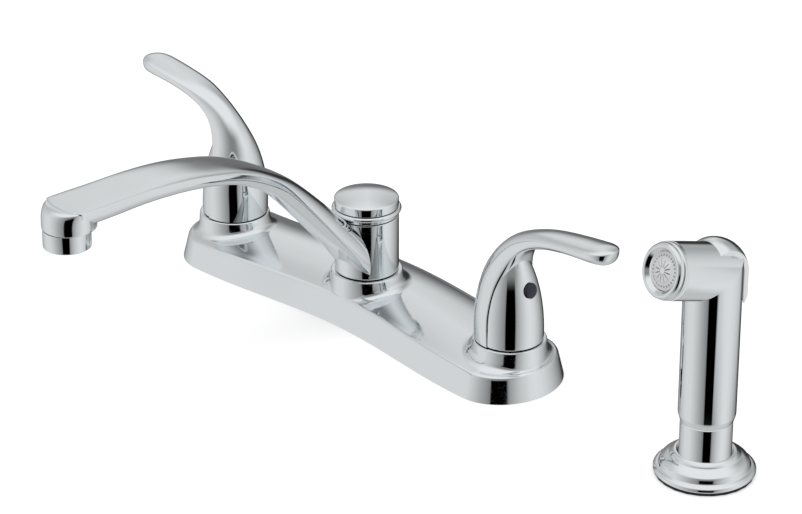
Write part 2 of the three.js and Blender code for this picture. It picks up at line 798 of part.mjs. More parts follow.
// The round waterway inside the arm, on the middle of each section.
function waterwaySection([reach, rise, climb, , crown, keel]) {
  const up = new THREE.Vector3(0, Math.sin(climb * radians), Math.cos(climb * radians));
  const centre = new THREE.Vector3(0, -reach * spoutReach, rise * spoutRise)
    .addScaledVector(up, (crown - keel) / 2 * armHalfWidth);
  const height = Math.min(waterwayRadius, (crown + keel) / 2 * armHalfWidth - 1.5);
  return section(centre, new THREE.Vector3(1, 0, 0), up, waterwayRadius + 3, height, height, 2, 2, 10);
}

// What bounds the tip from above: a slope inside the arm, and a curve down the front.
function noseBlock() {
  const front = spoutReach - tipSetback + tipRadius;
  const side = (x) => {
    const loop = [new THREE.Vector3(x, -front - 1, tipBottom - 1)];
    for (let step = 0; step <= 5; step++) {
      const angle = (step / 5) * Math.PI / 2;
      loop.push(new THREE.Vector3(x, -front + (1 - Math.cos(angle)) * (front - spoutReach + 1),
        tipTop - tipDroop * (1 - Math.sin(angle))));
    }
    loop.push(new THREE.Vector3(x, -spoutReach + 2 * tipRadius, tipTop - tipDroop));
    loop.push(new THREE.Vector3(x, -spoutReach + 2 * tipRadius, tipBottom - 1));
    return loop;
  };
  return loft([side(-2 * tipRadius), side(2 * tipRadius)]);
}

function spout() {
  const hub = turned([
    [0, hubBottom], [hubRadius - hubEdge, hubBottom], [hubRadius, hubBottom + hubEdge],
    [hubRadius, hubTop - hubEdge], [hubRadius - hubEdge, hubTop], [0, hubTop],
  ]);
  const arm = loft(armRows.map((row, i) => armSection(row, i / (armRows.length - 1))));
  const underHub = rod(hubRadius + 4, 0, hubBottom, largeSides);
  const tip = overlap(
    rod(tipRadius, tipBottom, tipTop).translate([0, tipSetback - spoutReach, 0]), noseBlock());
  const hubBore = rod(postRadius + boreGap, hubBottom - 1, hubTop + 1, largeSides);
  const recess = (bottom) => rod(hubRadius - bearingRecess, bottom, bottom + bearingRecess);
  const waterway = loft(armRows.slice(1).map(waterwaySection));
  const outletEnd = tipBottom + aeratorNeckHeight + 1;
  const outlet = rod(aeratorNeckRadius + seatGap, tipBottom - 1, outletEnd, middleSides);
  const outletTop = rod(aeratorBoreRadius, tipBottom, tipTop - 3.4);
  const nutRoom = rod(beadRadius + boreGap, hubTop, capBottom + capBand);
  return cut(join(hub, cut(arm, underHub), tip), hubBore, nutRoom, waterway,
    recess(hubBottom - bearingRecess + bearingThickness),
    recess(hubTop - bearingThickness - seatGap),
    outlet.translate([0, -spoutReach, 0]), outletTop.translate([0, -spoutReach, 0]));
}

// The aerator screwed into the tip, built on the Z axis.
const aeratorBottom = tipBottom - seatGap - aeratorHeight;
const aeratorTop = tipBottom + aeratorNeckHeight;

const aeratorHousing = () => turned([
  [aeratorBoreRadius - 0.8, aeratorBottom],
  [aeratorRadius - 0.6, aeratorBottom],
  [aeratorRadius, aeratorBottom + 0.6],
  [aeratorRadius, tipBottom - seatGap],
  [aeratorNeckRadius, tipBottom - seatGap],
  [aeratorNeckRadius, aeratorTop],
  [aeratorBoreRadius - 0.8, aeratorTop],
  [aeratorBoreRadius - 0.8, aeratorBottom],
], middleSides);

const aeratorWasher = () => ring(
  aeratorBoreRadius - 2.4, aeratorNeckRadius - 0.2,
  aeratorTop + seatGap, tipBottom + aeratorNeckHeight + 0.9, smallSides);

// The plastic insert that straightens the water, with slots across it.
function aeratorInsert() {
  const radius = aeratorBoreRadius - 0.8 - seatGap;
  const disc = rod(radius, aeratorBottom + 3, aeratorTop - 1, middleSides);
  const slot = (x) => box([x - 0.8, -radius + 2, aeratorBottom], [x + 0.8, radius - 2, aeratorTop]);
  return cut(disc, slot(-4), slot(-1.35), slot(1.35), slot(4));
}

const aeratorScreen = () => ring(
  1.2, aeratorBoreRadius - 0.8 - seatGap, aeratorBottom + 1.6, aeratorBottom + 2.7, middleSides);

// ---------- side sprayer ----------

// The round holder with its threaded shank, on the Z axis. Its stepped outside is given as
// steps in from the rim and shares of the height over the gasket.
function sprayHolder() {
  const foot = sprayGasketThickness + seatGap;
  const rise = holderHeight - foot;
  const steps = [
    [0.6, 0], [0, 0.06], [0, 0.17], [1.2, 0.27], [2.6, 0.32], [2.9, 0.41], [3.6, 0.56],
    [5.4, 0.70], [7.6, 0.79], [8.2, 0.88], [9.4, 0.96],
  ];
  const shankBore = holderShankRadius - holderWall - 2;
  return turned([
    [shankBore, -holderShankLength],
    [holderShankRadius, -holderShankLength],
    [holderShankRadius, foot],
    ...steps.map(([inset, share]) => [holderRadius - inset, foot + share * rise]),
    [holderBoreRadius + 0.8, holderHeight],
    [holderBoreRadius, holderHeight - 0.8],
    [holderBoreRadius, -holderStep],
    [shankBore, -holderStep],
    [shankBore, -holderShankLength],
  ], largeSides);
}

const sprayGasket = () => ring(
  holderShankRadius + seatGap, holderRadius - 0.8, 0, sprayGasketThickness, largeSides);

// The hose coupling that stands in the holder; the spray head turns on its nipple.
const sprayCoupling = () => turned([
  [couplingBoreRadius, -holderStep + seatGap],
  [couplingRadius - couplingTaper, -holderStep + seatGap],
  [couplingRadius, -holderStep + seatGap + 3 * couplingTaper],
  [couplingRadius, couplingTop - 0.4],
  [couplingRadius - 0.4, couplingTop],
  [couplingNippleRadius, couplingTop],
  [couplingNippleRadius, nippleTop],
  [couplingBoreRadius, nippleTop],
  [couplingBoreRadius, -holderStep + seatGap],
]);

const couplingWasher = () => ring(
  couplingBoreRadius + 0.6, couplingNippleRadius,
  nippleTop + seatGap, nippleTop + seatGap + 1.6, smallSides);

// Moves a solid built up the Z axis onto the barrel's axis, which leaves the elbow towards
// -Y and climbs by the barrel's tilt.
const onBarrel = (solid) => solid.rotate([90 - barrelTilt, 0, 0]).translate([0, 0, elbowHeight]);

// Grip and barrel as two round bars of one radius, mitred where they meet.
function elbow(radius, bottom, front) {
  const across = new THREE.Vector3(1, 0, 0);
  const along = new THREE.Vector3(0, -Math.cos(barrelTilt * radians), Math.sin(barrelTilt * radians));
  const above = new THREE.Vector3(0, Math.sin(barrelTilt * radians), Math.cos(barrelTilt * radians));
  const centre = new THREE.Vector3(0, 0, elbowHeight);
  const halfAngle = (90 + barrelTilt) / 2 * radians;
  const outwards = new THREE.Vector3(0, Math.sin(halfAngle), Math.cos(halfAngle));
  const reach = radius / Math.sin(halfAngle);
  const circle = (middle, up, height) => section(
    middle, across, up, radius, height, height, 2, 2, largeSides);
  return loft([
    circle(new THREE.Vector3(0, 0, bottom), new THREE.Vector3(0, 1, 0), radius),
    circle(centre, outwards, reach),
    circle(centre.clone().addScaledVector(along, front), above, radius),
  ]);
}

const thumbBottom = elbowHeight - thumbLength;
const pressDrop = thumbPressDepth / 2; // how far the lever sinks at the elbow's corner
const thumbZone = (extra, drop) => {
  const half = thumbHalfWidth + extra;
  const behind = onBarrel(box([-half, -cutReach, -cutReach], [half, cutReach, thumbFront + extra]));
  return overlap(behind,
    box([-half, -4, thumbBottom - extra - drop], [half, cutReach, elbowHeight + cutReach]));
};

const pinPlaced = (radius, halfLength) => onBarrel(
  rodAlong('x', radius, -halfLength, halfLength, pinHeight, 0));
const pinHalfLength = Math.sqrt(gripRadius ** 2 - (pinHeight + pinRadius) ** 2) - 0.2;

function thumbLever() {
  const shell = cut(
    elbow(gripRadius + boreGap + thumbThickness, thumbBottom - gripRadius, cutReach),
    elbow(gripRadius + boreGap, thumbBottom - gripRadius - 1, cutReach + 1));
  const knuckle = pinPlaced(knuckleRadius, knuckleHalfWidth);
  const web = onBarrel(box(
    [-knuckleHalfWidth, pinHeight, -knuckleRadius + boreGap],
    [knuckleHalfWidth, gripRadius + 1, knuckleRadius - boreGap]));
  return cut(join(overlap(shell, thumbZone(0, 0)), knuckle, web),
    pinPlaced(pinRadius + seatGap, 2 * gripRadius));
}

function sprayBody() {
  const whole = elbow(gripRadius, gripBottom, barrelLength);
  const pressed = elbow(gripRadius + boreGap, gripBottom - 10, cutReach)
    .translate([0, -thumbPressDepth, -pressDrop]);
  const knuckleRoom = onBarrel(box(
    [-knuckleHalfWidth - boreGap, pinHeight - knuckleRadius - boreGap, -knuckleRadius - boreGap],
    [knuckleHalfWidth + boreGap, 30, knuckleRadius + boreGap]));
  const rear = onBarrel(box([-2 * gripRadius, -cutReach, -cutReach], [2 * gripRadius, cutReach, 0]));
  const rearZone = overlap(thumbZone(boreGap, pressDrop), rear);
  return cut(whole,
    cut(rearZone, pressed),
    knuckleRoom,
    pinPlaced(pinRadius + seatGap, pinHalfLength + 10),
    rod(couplingNippleRadius + boreGap, gripBottom - 1, nippleTop + 2.2),
    rod(gripBoreRadius, nippleTop, elbowHeight, smallSides),
    onBarrel(rod(gripBoreRadius, -3, chamberStart + 1, smallSides)),
    onBarrel(rod(chamberRadius, chamberStart, barrelLength + 1)),
    onBarrel(rod(valveRodRadius + seatGap, -2 * gripRadius, 0, smallSides)));
}

const thumbPin = () => pinPlaced(pinRadius, pinHalfLength);

const valveSeatRing = () => onBarrel(ring(
  valveRodRadius + 0.8, chamberRadius - seatGap, chamberStart + seatGap,
  chamberStart + seatGap + valveSeatThickness, smallSides));

const discStart = chamberStart + valveSeatThickness + 2 * seatGap;
const rodEnd = (gripRadius + boreGap - valveRodRadius * Math.sin(barrelTilt * radians))
  / Math.cos(barrelTilt * radians) - seatGap;
const valvePlunger = () => onBarrel(turned([
  [0, -rodEnd], [valveRodRadius, -rodEnd], [valveRodRadius, discStart], [valveDiscRadius, discStart],
  [valveDiscRadius, discStart + valveDiscThickness], [0, discStart + valveDiscThickness],
], smallSides));

const sealStart = barrelLength + seatGap - faceSealThickness;
const valveSpring = () => onBarrel(ring(
  valveDiscRadius - 2, valveDiscRadius - 0.6, discStart + valveDiscThickness + seatGap,
  sealStart + faceSealThickness, smallSides));

const faceSeal = () => onBarrel(ring(
  faceRadius - 3, chamberRadius - seatGap,
  sealStart - 0.3, sealStart + faceSealThickness - 0.6, middleSides));

// The stepped ring on the end of the barrel, and the spray face that it holds.
const ringStart = barrelLength + seatGap;
const ringEnd = ringStart + nozzleRingLength;
const nozzleRing = () => onBarrel(turned([
  [chamberRadius - 1.6, ringStart],
  [gripRadius - 0.9, ringStart],
  [gripRadius - 0.9, ringStart + 1.2],
  [gripRadius - 0.2, ringStart + 1.7],
  [gripRadius - 0.2, ringEnd - 1.3],
  [gripRadius - 1.4, ringEnd],
  [faceRadius + seatGap + 0.9, ringEnd],
  [faceRadius + seatGap, ringEnd - faceRecess],
  [faceRadius + seatGap, ringStart + 1.6],
  [chamberRadius - 1.6, ringStart + 1.6],
  [chamberRadius - 1.6, ringStart],
], largeSides));

function sprayFace() {
  const back = ringStart + 1.6 + seatGap;
  const disc = turned([
    [0, back], [faceRadius, back], [faceRadius, back + faceThickness - 0.5],
    [faceRadius - 0.5, back + faceThickness], [faceRadius * 0.4, back + faceThickness + 0.4],
    [0, back + faceThickness + 0.5],
  ], middleSides);
  const holes = Array.from({ length: sprayHoleCount }, (_, i) => {
    const angle = (i / sprayHoleCount) * 2 * Math.PI;
    const place = [Math.cos(angle), Math.sin(angle)].map((value) => value * faceRadius * 0.8);
    return rod(sprayHoleRadius, back - 1, back + 5, 6).translate([...place, 0]);
  });
  return onBarrel(cut(disc, ...holes));
}

// ---------- assembly ----------

const finish = (color, roughness, metalness) => ({ color, roughness, metalness });
const chrome = finish(0xd9dcdf, 0.08, 1);
const brass = finish(0xc2a04f, 0.35, 1);
const copper = finish(0xb87352, 0.35, 1);
const steel = finish(0xb4b6b8, 0.3, 1);
const rubber = finish(0x1c1c1e, 0.85, 0);
const blackPlastic = finish(0x242528, 0.5, 0);
const whitePlastic = finish(0xe6e6e2, 0.45, 0);
const coldNavy = finish(0x14162a, 0.35, 0);
const hotRed = finish(0xa01820, 0.35, 0);

const faucet = new THREE.Group();

function add(name, solid, look, place = [0, 0, 0], parent = faucet) {
  const mesh = new THREE.Mesh(toGeometry(solid), new THREE.MeshStandardMaterial(look));
  mesh.name = name;
  mesh.position.set(...place);
  parent.add(mesh);
}

add('deck_plate', deckPlate(), chrome);
add('deck_gasket', deckGasket(), rubber);

for (const [side, x, button] of [['hot', -postX, hotRed], ['cold', postX, coldNavy]]) {
  const inwards = -Math.sign(x);
  const place = [x, 0, 0];
  const facing = (solid) => (x > 0 ? solid : solid.mirror([1, 0, 0]));
  add(`${side}_valve_body`, valveBody(inwards), brass, place);
  add(`${side}_mounting_washer`, mountingWasher(shankRadius, washerRadius), steel, place);
  add(`${side}_mounting_nut`, wingNut(shankRadius, nutRadius, wingReach), blackPlastic, place);
  add(`${side}_cross_tube`, facing(crossTube()), copper);
  add(`${side}_seat_spring`, seatSpring(), steel, place);
  add(`${side}_valve_seat`, valveSeat(), rubber, place);
  add(`${side}_cartridge`, cartridge(), whitePlastic, place);
  add(`${side}_bonnet_nut`, bonnetNut(), brass, place);
  add(`${side}_stem`, stem(), brass, place);
  add(`${side}_handle`, facing(handle()), chrome, place);
  add(`${side}_set_screw`, facing(setScrew()), steel, place);
  add(`${side}_index_button`, facing(indexButton()), button, place);
}

add('spout_post', spoutPost(), brass);
add('diverter_body', diverterBody(), whitePlastic);
add('diverter_piston', diverterPiston(), whitePlastic);
add('diverter_spring', diverterSpring(), steel);
add('lower_spout_ring', spoutRing(ringHeights[0]), rubber);
add('upper_spout_ring', spoutRing(ringHeights[1]), rubber);
add('lower_spout_bearing', spoutBearing(bearingHeights[0]), blackPlastic);
add('upper_spout_bearing', spoutBearing(bearingHeights[1]), blackPlastic);
add('spout', spout(), chrome);
add('spout_nut', spoutNut(), chrome);
add('spout_cap', spoutCap(), chrome);

const outletPlace = [0, -spoutReach, 0];
add('aerator_housing', aeratorHousing(), chrome, outletPlace);
add('aerator_washer', aeratorWasher(), rubber, outletPlace);
add('aerator_insert', aeratorInsert(), whitePlastic, outletPlace);
add('aerator_screen', aeratorScreen(), steel, outletPlace);

const sprayer = new THREE.Group();
sprayer.position.set(sprayerX, 0, 0);
sprayer.rotation.z = sprayerYaw * radians;
faucet.add(sprayer);
const sprayerPieces = [
  ['spray_holder', sprayHolder(), chrome],
  ['spray_holder_gasket', sprayGasket(), rubber],
  ['spray_holder_washer', mountingWasher(holderShankRadius, washerRadius + 4), steel],
  ['spray_holder_nut', wingNut(holderShankRadius, nutRadius + 5, wingReach + 4), blackPlastic],
  ['spray_coupling', sprayCoupling(), chrome],
  ['spray_coupling_washer', couplingWasher(), rubber],
  ['spray_body', sprayBody(), chrome],
  ['spray_thumb_lever', thumbLever(), chrome],
  ['spray_lever_pin', thumbPin(), steel],
  ['spray_valve_seat', valveSeatRing(), brass],
  ['spray_valve_plunger', valvePlunger(), brass],
  ['spray_valve_spring', valveSpring(), steel],
  ['spray_face_seal', faceSeal(), rubber],
  ['spray_nozzle_ring', nozzleRing(), chrome],
  ['spray_face', sprayFace(), whitePlastic],
];
for (const [name, solid, look] of sprayerPieces) add(name, solid, look, [0, 0, 0], sprayer);

export default faucet;
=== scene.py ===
import json
import math

import bmesh
import bpy
from mathutils import Matrix, Vector

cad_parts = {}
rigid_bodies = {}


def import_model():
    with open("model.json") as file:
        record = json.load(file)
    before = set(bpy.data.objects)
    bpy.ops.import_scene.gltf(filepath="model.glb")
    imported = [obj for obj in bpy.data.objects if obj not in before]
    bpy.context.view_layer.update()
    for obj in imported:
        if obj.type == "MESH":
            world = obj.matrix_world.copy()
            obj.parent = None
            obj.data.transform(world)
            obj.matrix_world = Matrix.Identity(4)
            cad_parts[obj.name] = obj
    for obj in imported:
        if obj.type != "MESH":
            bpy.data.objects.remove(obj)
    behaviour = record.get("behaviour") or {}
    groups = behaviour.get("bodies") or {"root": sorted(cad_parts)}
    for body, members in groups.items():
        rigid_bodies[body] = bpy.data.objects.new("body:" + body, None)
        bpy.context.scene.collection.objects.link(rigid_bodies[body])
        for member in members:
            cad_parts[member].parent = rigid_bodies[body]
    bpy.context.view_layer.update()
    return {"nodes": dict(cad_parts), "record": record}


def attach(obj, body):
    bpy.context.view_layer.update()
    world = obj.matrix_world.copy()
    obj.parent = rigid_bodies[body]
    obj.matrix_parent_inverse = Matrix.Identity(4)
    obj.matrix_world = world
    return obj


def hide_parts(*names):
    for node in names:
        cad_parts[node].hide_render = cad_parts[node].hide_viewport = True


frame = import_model()
mm = 0.001
print("frame loaded,", len(frame["nodes"]), "nodes")

# small helpers


def srgb(code):
    # hex colour as written, turned to linear
    parts = [int(code[i:i + 2], 16) / 255 for i in (0, 2, 4)]
    return [p / 12.92 if p <= 0.04045 else ((p + 0.055) / 1.055) ** 2.4 for p in parts] + [1]


def addNode(tree, kind, settings=None, links=None):
    # a small first letter is a property, anything else an input socket
    node = tree.nodes.new(kind)
    for key, value in (settings or {}).items():
        if isinstance(key, str) and key[0].islower():
            setattr(node, key, value)
        else:
            node.inputs[key].default_value = value
    for key, socket in (links or {}).items():
        tree.links.new(socket, node.inputs[key])
    return node


def newPiece(name):
    # one point in edit mode, ready to be extruded
    bpy.ops.object.select_all(action="DESELECT")
    bpy.ops.mesh.primitive_plane_add(size=mm)
    piece = bpy.context.object
    piece.name = piece.data.name = name
    piece.data.uv_layers.remove(piece.data.uv_layers[0])
    bpy.ops.object.mode_set(mode="EDIT")
    bpy.ops.mesh.merge(type="CENTER")
    return piece


def closePiece(piece):
    # welds the seam, fills the ends and turns every face outwards
    bpy.ops.mesh.select_all(action="SELECT")
    bpy.ops.mesh.remove_doubles(threshold=4e-6)
    bpy.ops.mesh.select_all(action="DESELECT")
    bpy.ops.mesh.select_non_manifold()
    bpy.ops.mesh.fill_holes(sides=0)
    bpy.ops.mesh.select_all(action="SELECT")
    bpy.ops.mesh.normals_make_consistent(inside=False)
    bpy.ops.object.mode_set(mode="OBJECT")
    return piece


def softProfile(rows, steps=4):
    # rows of radius, height and an optional rounding of that corner, all in mm
    points = []
    for i, row in enumerate(rows):
        corner = Vector(row[:2])
        if len(row) < 3 or i in (0, len(rows) - 1):
            points.append(corner)
            continue
        before = Vector(rows[i - 1][:2]) - corner
        after = Vector(rows[i + 1][:2]) - corner
        reach = min(row[2], before.length * 0.49, after.length * 0.49)
        start = corner + before.normalized() * reach
        end = corner + after.normalized() * reach
        for step in range(steps + 1):
            t = step / steps
            points.append(start * (1 - t) ** 2 + corner * 2 * t * (1 - t) + end * t ** 2)
    return points


def turn(name, rows, place=(0, 0, 0), sides=96, steps=4):
    # a profile drawn by extruding a point, then spun about the upright axis
    piece = newPiece(name)
    points = softProfile(rows, steps)
    bpy.ops.transform.translate(value=(points[0].x * mm, 0, points[0].y * mm))
    for here, there in zip(points, points[1:]):
        move = (there - here) * mm
        bpy.ops.mesh.extrude_vertices_move(TRANSFORM_OT_translate={"value": (move.x, 0, move.y)})
    bpy.ops.mesh.select_all(action="SELECT")
    bpy.ops.mesh.spin(steps=sides, angle=2 * math.pi, center=(0, 0, 0), axis=(0, 0, 1))
    closePiece(piece)
    return shift(piece, place)


def shift(piece, place):
    # moves the mesh and leaves the object at the origin
    piece.data.transform(Matrix.Translation([value * mm for value in place]))
    return piece


def skin(name, loops):
    # loops of points in mm, each extruded from the one before it
    piece = newPiece(name)
    bpy.ops.mesh.delete(type="VERT")
    bpy.ops.mesh.primitive_circle_add(vertices=len(loops[0]), radius=mm)
    before = {}
    for loop in loops:
        if before:
            bpy.ops.mesh.extrude_edges_move()
        mesh = bmesh.from_edit_mesh(piece.data)
        ring = [vert for vert in mesh.verts if vert.select]
        if before:
            ring.sort(key=lambda vert: before[vert.co.copy().freeze()])
        else:
            ring.sort(key=lambda vert: (math.atan2(vert.co.y, vert.co.x) + 0.001) % (2 * math.pi))
        for vert, point in zip(ring, loop):
            vert.co = Vector(point) * mm
        before = {vert.co.copy().freeze(): i for i, vert in enumerate(ring)}
        bmesh.update_edit_mesh(piece.data)
    return closePiece(piece)


def combine(piece, other, how):
    # union or difference with another piece, which is used up
    bpy.ops.object.select_all(action="DESELECT")
    bpy.context.view_layer.objects.active = piece
    piece.select_set(True)
    bpy.ops.object.modifier_add(type="BOOLEAN")
    modifier = piece.modifiers[-1]
    modifier.object = other
    modifier.operation = how
    modifier.solver = "EXACT"
    bpy.ops.object.modifier_apply(modifier=modifier.name)
    bpy.data.objects.remove(other, do_unlink=True)
    return piece


def addTo(piece, *others):
    for other in others:
        combine(piece, other, "UNION")
    return piece


def takeFrom(piece, *others):
    for other in others:
        combine(piece, other, "DIFFERENCE")
    return piece


def softEdges(piece, width, segments=3, angle=30):
    bpy.ops.object.select_all(action="DESELECT")
    bpy.context.view_layer.objects.active = piece
    piece.select_set(True)
    bpy.ops.object.modifier_add(type="BEVEL")
    modifier = piece.modifiers[-1]
    modifier.width = width * mm
    modifier.segments = segments
    modifier.limit_method = "ANGLE"
    modifier.angle_limit = math.radians(angle)
    modifier.harden_normals = False
    bpy.ops.object.modifier_apply(modifier=modifier.name)
    return piece


def finishPiece(piece, body, material, slot, *nodes, angle=32):
    # smooth shading, material and the CAD nodes that the piece stands for
    bpy.ops.object.select_all(action="DESELECT")
    bpy.context.view_layer.objects.active = piece
    piece.select_set(True)
    bpy.ops.object.shade_smooth_by_angle(angle=math.radians(angle))
    piece.data.materials.clear()
    piece.data.materials.append(material)
    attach(piece, body)
    if nodes:
        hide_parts(*nodes)
    return piece


def smoothRows(rows, count, passes=2):
    # a cubic spline near rows of numbers, so that no row shows as a kink
    controls = [list(row) for row in rows]
    last = len(rows) - 1
    for _ in range(passes):
        moved = [list(row) for row in controls]
        for i in range(1, last):
            for k in range(len(rows[0])):
                value = (controls[i - 1][k] + 4 * controls[i][k] + controls[i + 1][k]) / 6
                moved[i][k] += rows[i][k] - value
        controls = moved
    ends = [[2 * a - b for a, b in zip(controls[i], controls[j])] for i, j in ((0, 1), (last, last - 1))]
    controls = [ends[0]] + controls + [ends[1]]
    result = []
    columns = range(len(rows[0]))
    for step in range(count + 1):
        at = step / count * last
        i = min(int(at), last - 1)
        t = at - i
        weights = ((1 - t) ** 3 / 6, (3 * t ** 3 - 6 * t * t + 4) / 6,
                   (-3 * t ** 3 + 3 * t * t + 3 * t + 1) / 6, t ** 3 / 6)
        result.append([sum(weight * controls[i + j][k] for j, weight in enumerate(weights)) for k in columns])
    return result


def section(centre, right, up, halfWidth, crown, keel, crownPower, keelPower, count):
    # a rounded section, squarer as the powers grow
    points = []
    for i in range(count):
        angle = i / count * 2 * math.pi
        c, s = math.cos(angle), math.sin(angle)
        power = crownPower if s >= 0 else keelPower
        across = math.copysign(abs(c) ** (2 / power), c) * halfWidth
        height = math.copysign(abs(s) ** (2 / power), s) * (crown if s >= 0 else keel)
        points.append(Vector(centre) + Vector(right) * across + Vector(up) * height)
    return points


# materials

# wave and smudge sizes and depths in mm
chromeLook = dict(
    colour="e5e9eb", waveSize=14, waveDepth=0.012, smudgeSize=9, smoothest=0.025, dullest=0.075,
    buffPitch=1.6, buffStretch=0.05)


def chromePlate(name, waveDepth=chromeLook["waveDepth"], dullest=chromeLook["dullest"],
                smudgeSize=chromeLook["smudgeSize"], stretch=(1, 1, 1)):
    # chrome over a polished ground: mirror bright, slightly wavy where the ground was buffed by hand
    material = bpy.data.materials.new(name)
    material.use_nodes = True
    tree = material.node_tree
    tree.nodes.clear()
    place = addNode(tree, "ShaderNodeTexCoord")
    wave = addNode(tree, "ShaderNodeTexNoise", {"Scale": 1000 / chromeLook["waveSize"], "Detail": 1.5},
                   {"Vector": place.outputs["Object"]})
    bump = addNode(tree, "ShaderNodeBump", {"Strength": 1.0, "Distance": waveDepth * mm},
                   {"Height": wave.outputs["Fac"]})
    along = addNode(tree, "ShaderNodeMapping", {"Scale": stretch}, {"Vector": place.outputs["Object"]})
    smudge = addNode(tree, "ShaderNodeTexNoise", {"Scale": 1000 / smudgeSize, "Detail": 4},
                     {"Vector": along.outputs["Vector"]})
    dull = addNode(tree, "ShaderNodeMapRange",
                   {"From Min": 0.35, "From Max": 0.75, "To Min": chromeLook["smoothest"], "To Max": dullest},
                   {"Value": smudge.outputs["Fac"]})
    shader = addNode(tree, "ShaderNodeBsdfPrincipled",
                     {"Base Color": srgb(chromeLook["colour"]), "Metallic": 1.0},
                     {"Roughness": dull.outputs["Result"], "Normal": bump.outputs["Normal"]})
    addNode(tree, "ShaderNodeOutputMaterial", links={"Surface": shader.outputs["BSDF"]})
    return material


def plainFinish(name, colour, other, roughness, metallic=0.0, grain=1.2, depth=0.02, stretch=(1, 1, 1)):
    # two close colours over a grain of that size in mm, with a little relief
    material = bpy.data.materials.new(name)
    material.use_nodes = True
    tree = material.node_tree
    tree.nodes.clear()
    place = addNode(tree, "ShaderNodeTexCoord")
    along = addNode(tree, "ShaderNodeMapping", {"Scale": stretch}, {"Vector": place.outputs["Object"]})
    noise = addNode(tree, "ShaderNodeTexNoise", {"Scale": 1000 / grain, "Detail": 3},
                    {"Vector": along.outputs["Vector"]})
    colours = addNode(tree, "ShaderNodeMix", {"data_type": "RGBA", 6: srgb(colour), 7: srgb(other)},
                      {0: noise.outputs["Fac"]})
    rough = addNode(tree, "ShaderNodeMapRange",
                    {"To Min": roughness * 0.8, "To Max": min(roughness * 1.2, 1)},
                    {"Value": noise.outputs["Fac"]})
    bump = addNode(tree, "ShaderNodeBump", {"Strength": 1.0, "Distance": depth * mm},
                   {"Height": noise.outputs["Fac"]})
    shader = addNode(tree, "ShaderNodeBsdfPrincipled", {"Metallic": metallic},
                     {"Base Color": colours.outputs[2], "Roughness": rough.outputs["Result"],
                      "Normal": bump.outputs["Normal"]})
    addNode(tree, "ShaderNodeOutputMaterial", links={"Surface": shader.outputs["BSDF"]})
    return material


# a bright mirror with the faint waves of a polished casting
castingChrome = chromePlate("chrome_on_zinc_casting", 0.02)
# lines from the buffing wheel, along the plate and along the arm, blur what these mirror: real lines
# are about 0.2 mm apart, too fine to show, so they are drawn coarser
buffPitch, buffStretch = chromeLook["buffPitch"], chromeLook["buffStretch"]
plateChrome = chromePlate("chrome_on_buffed_plate", 0.02, 0.17, buffPitch, (buffStretch, 1, 1))
armChrome = chromePlate("chrome_on_buffed_arm", 0.02, 0.15, buffPitch, (1, buffStretch, 1))
# the truest mirror of all, as turned brass is round and smooth under it
turnedChrome = chromePlate("chrome_on_turned_brass", 0.006)
# as bright, with a little more haze and wave from the moulding
plasticChrome = chromePlate("chrome_on_abs_moulding", 0.012, 0.09)
# the lever's chrome is duller where thumbs rub it, so it mirrors the room only softly
leverChrome = chromePlate("worn_chrome_on_abs", 0.02, 0.2)
# light grey and a little glossy from the mould, with darker flow marks
faceAcetal = plainFinish("glossy_acetal_face", "f0f1f2", "c9cbcd", 0.16, 0.0, 3.2, 0.015)
materials = {
    # golden, dulled by the fine rings that the tool left
    "cast_brass": plainFinish("turned_brass", "c9a75a", "b8934a", 0.28, 1.0, 0.8, 0.01, (1, 1, 6)),
    # warm orange brown, streaked along the tube as it was drawn
    "copper_tube": plainFinish("drawn_copper", "c27a55", "a86444", 0.3, 1.0, 2.5, 0.01, (0.2, 1, 1)),
    # cool grey with a soft shine from the rollers
    "stainless_steel": plainFinish(
        "stainless_steel_strip", "b9bbbd", "a3a5a8", 0.3, 1.0, 1.0, 0.01, (1, 1, 5)),
    # dull black that hardly mirrors
    "black_rubber": plainFinish("moulded_nitrile_rubber", "1b1b1d", "26262a", 0.8, 0.0, 0.9, 0.03),
    # black with the low sheen of the mould
    "black_nylon": plainFinish("moulded_black_nylon", "222326", "2d2e32", 0.5, 0.0, 0.7, 0.02),
    # milky white with a low sheen
    "white_acetal": plainFinish("moulded_acetal", "dededa", "d2d2cd", 0.42, 0.0, 1.5, 0.01),
    # glossy plastic, nearly black on the cold side and deep red on the hot one
    "cold_mark": plainFinish("navy_button_plastic", "14162a", "191b33", 0.25, 0.0, 1.0, 0.004),
    "hot_mark": plainFinish("red_button_plastic", "a01820", "8c141b", 0.25, 0.0, 1.0, 0.004),
    "polished_chrome": turnedChrome,
}
slotOf = {row["node"]: row["material_slot"] for row in frame["record"]["subparts"]}
for node, part in frame["nodes"].items():
    part.data.materials.clear()
    part.data.materials.append(materials[slotOf[node]])
    # brass and copper stay out of the reflections, as they sit inside or under the deck
    part.visible_glossy = slotOf[node] not in ("cast_brass", "copper_tube")
print("materials made")

# deck plate

plate = dict(
    postX=101.6, halfLength=126, endHalfWidth=30.3, frontWaist=22.3, backWaist=37.4, endRound=26,
    height=13.4, arch=1.8, crown=3.4, sideSlope=2.6, shoulder=2.2, upright=0.3, wall=2.6, gasket=1.8,
    collarRadius=18.4, collarSpread=0.5, collarHeight=9.9, collarFlare=4.4, collarLip=0.8,
    collarRoot=1.3, collarLift=0.02, flareRise=0.8,
    wellRadius=15.6, wellFloor=2.2, postBore=12.3, neckBore=10.8, underRadius=15.2)
collarTop = plate["height"] + plate["collarHeight"]
hubCollarTop = collarTop + plate["arch"]
flatEnd = plate["halfLength"] - plate["endRound"]


def towardsEnd(x):
    # 0 at the middle of the plate, 1 where its round ends begin
    return min(abs(x) / flatEnd, 1)


def plateTop(x):
    return plate["height"] + plate["arch"] * (1 - towardsEnd(x) ** 2)


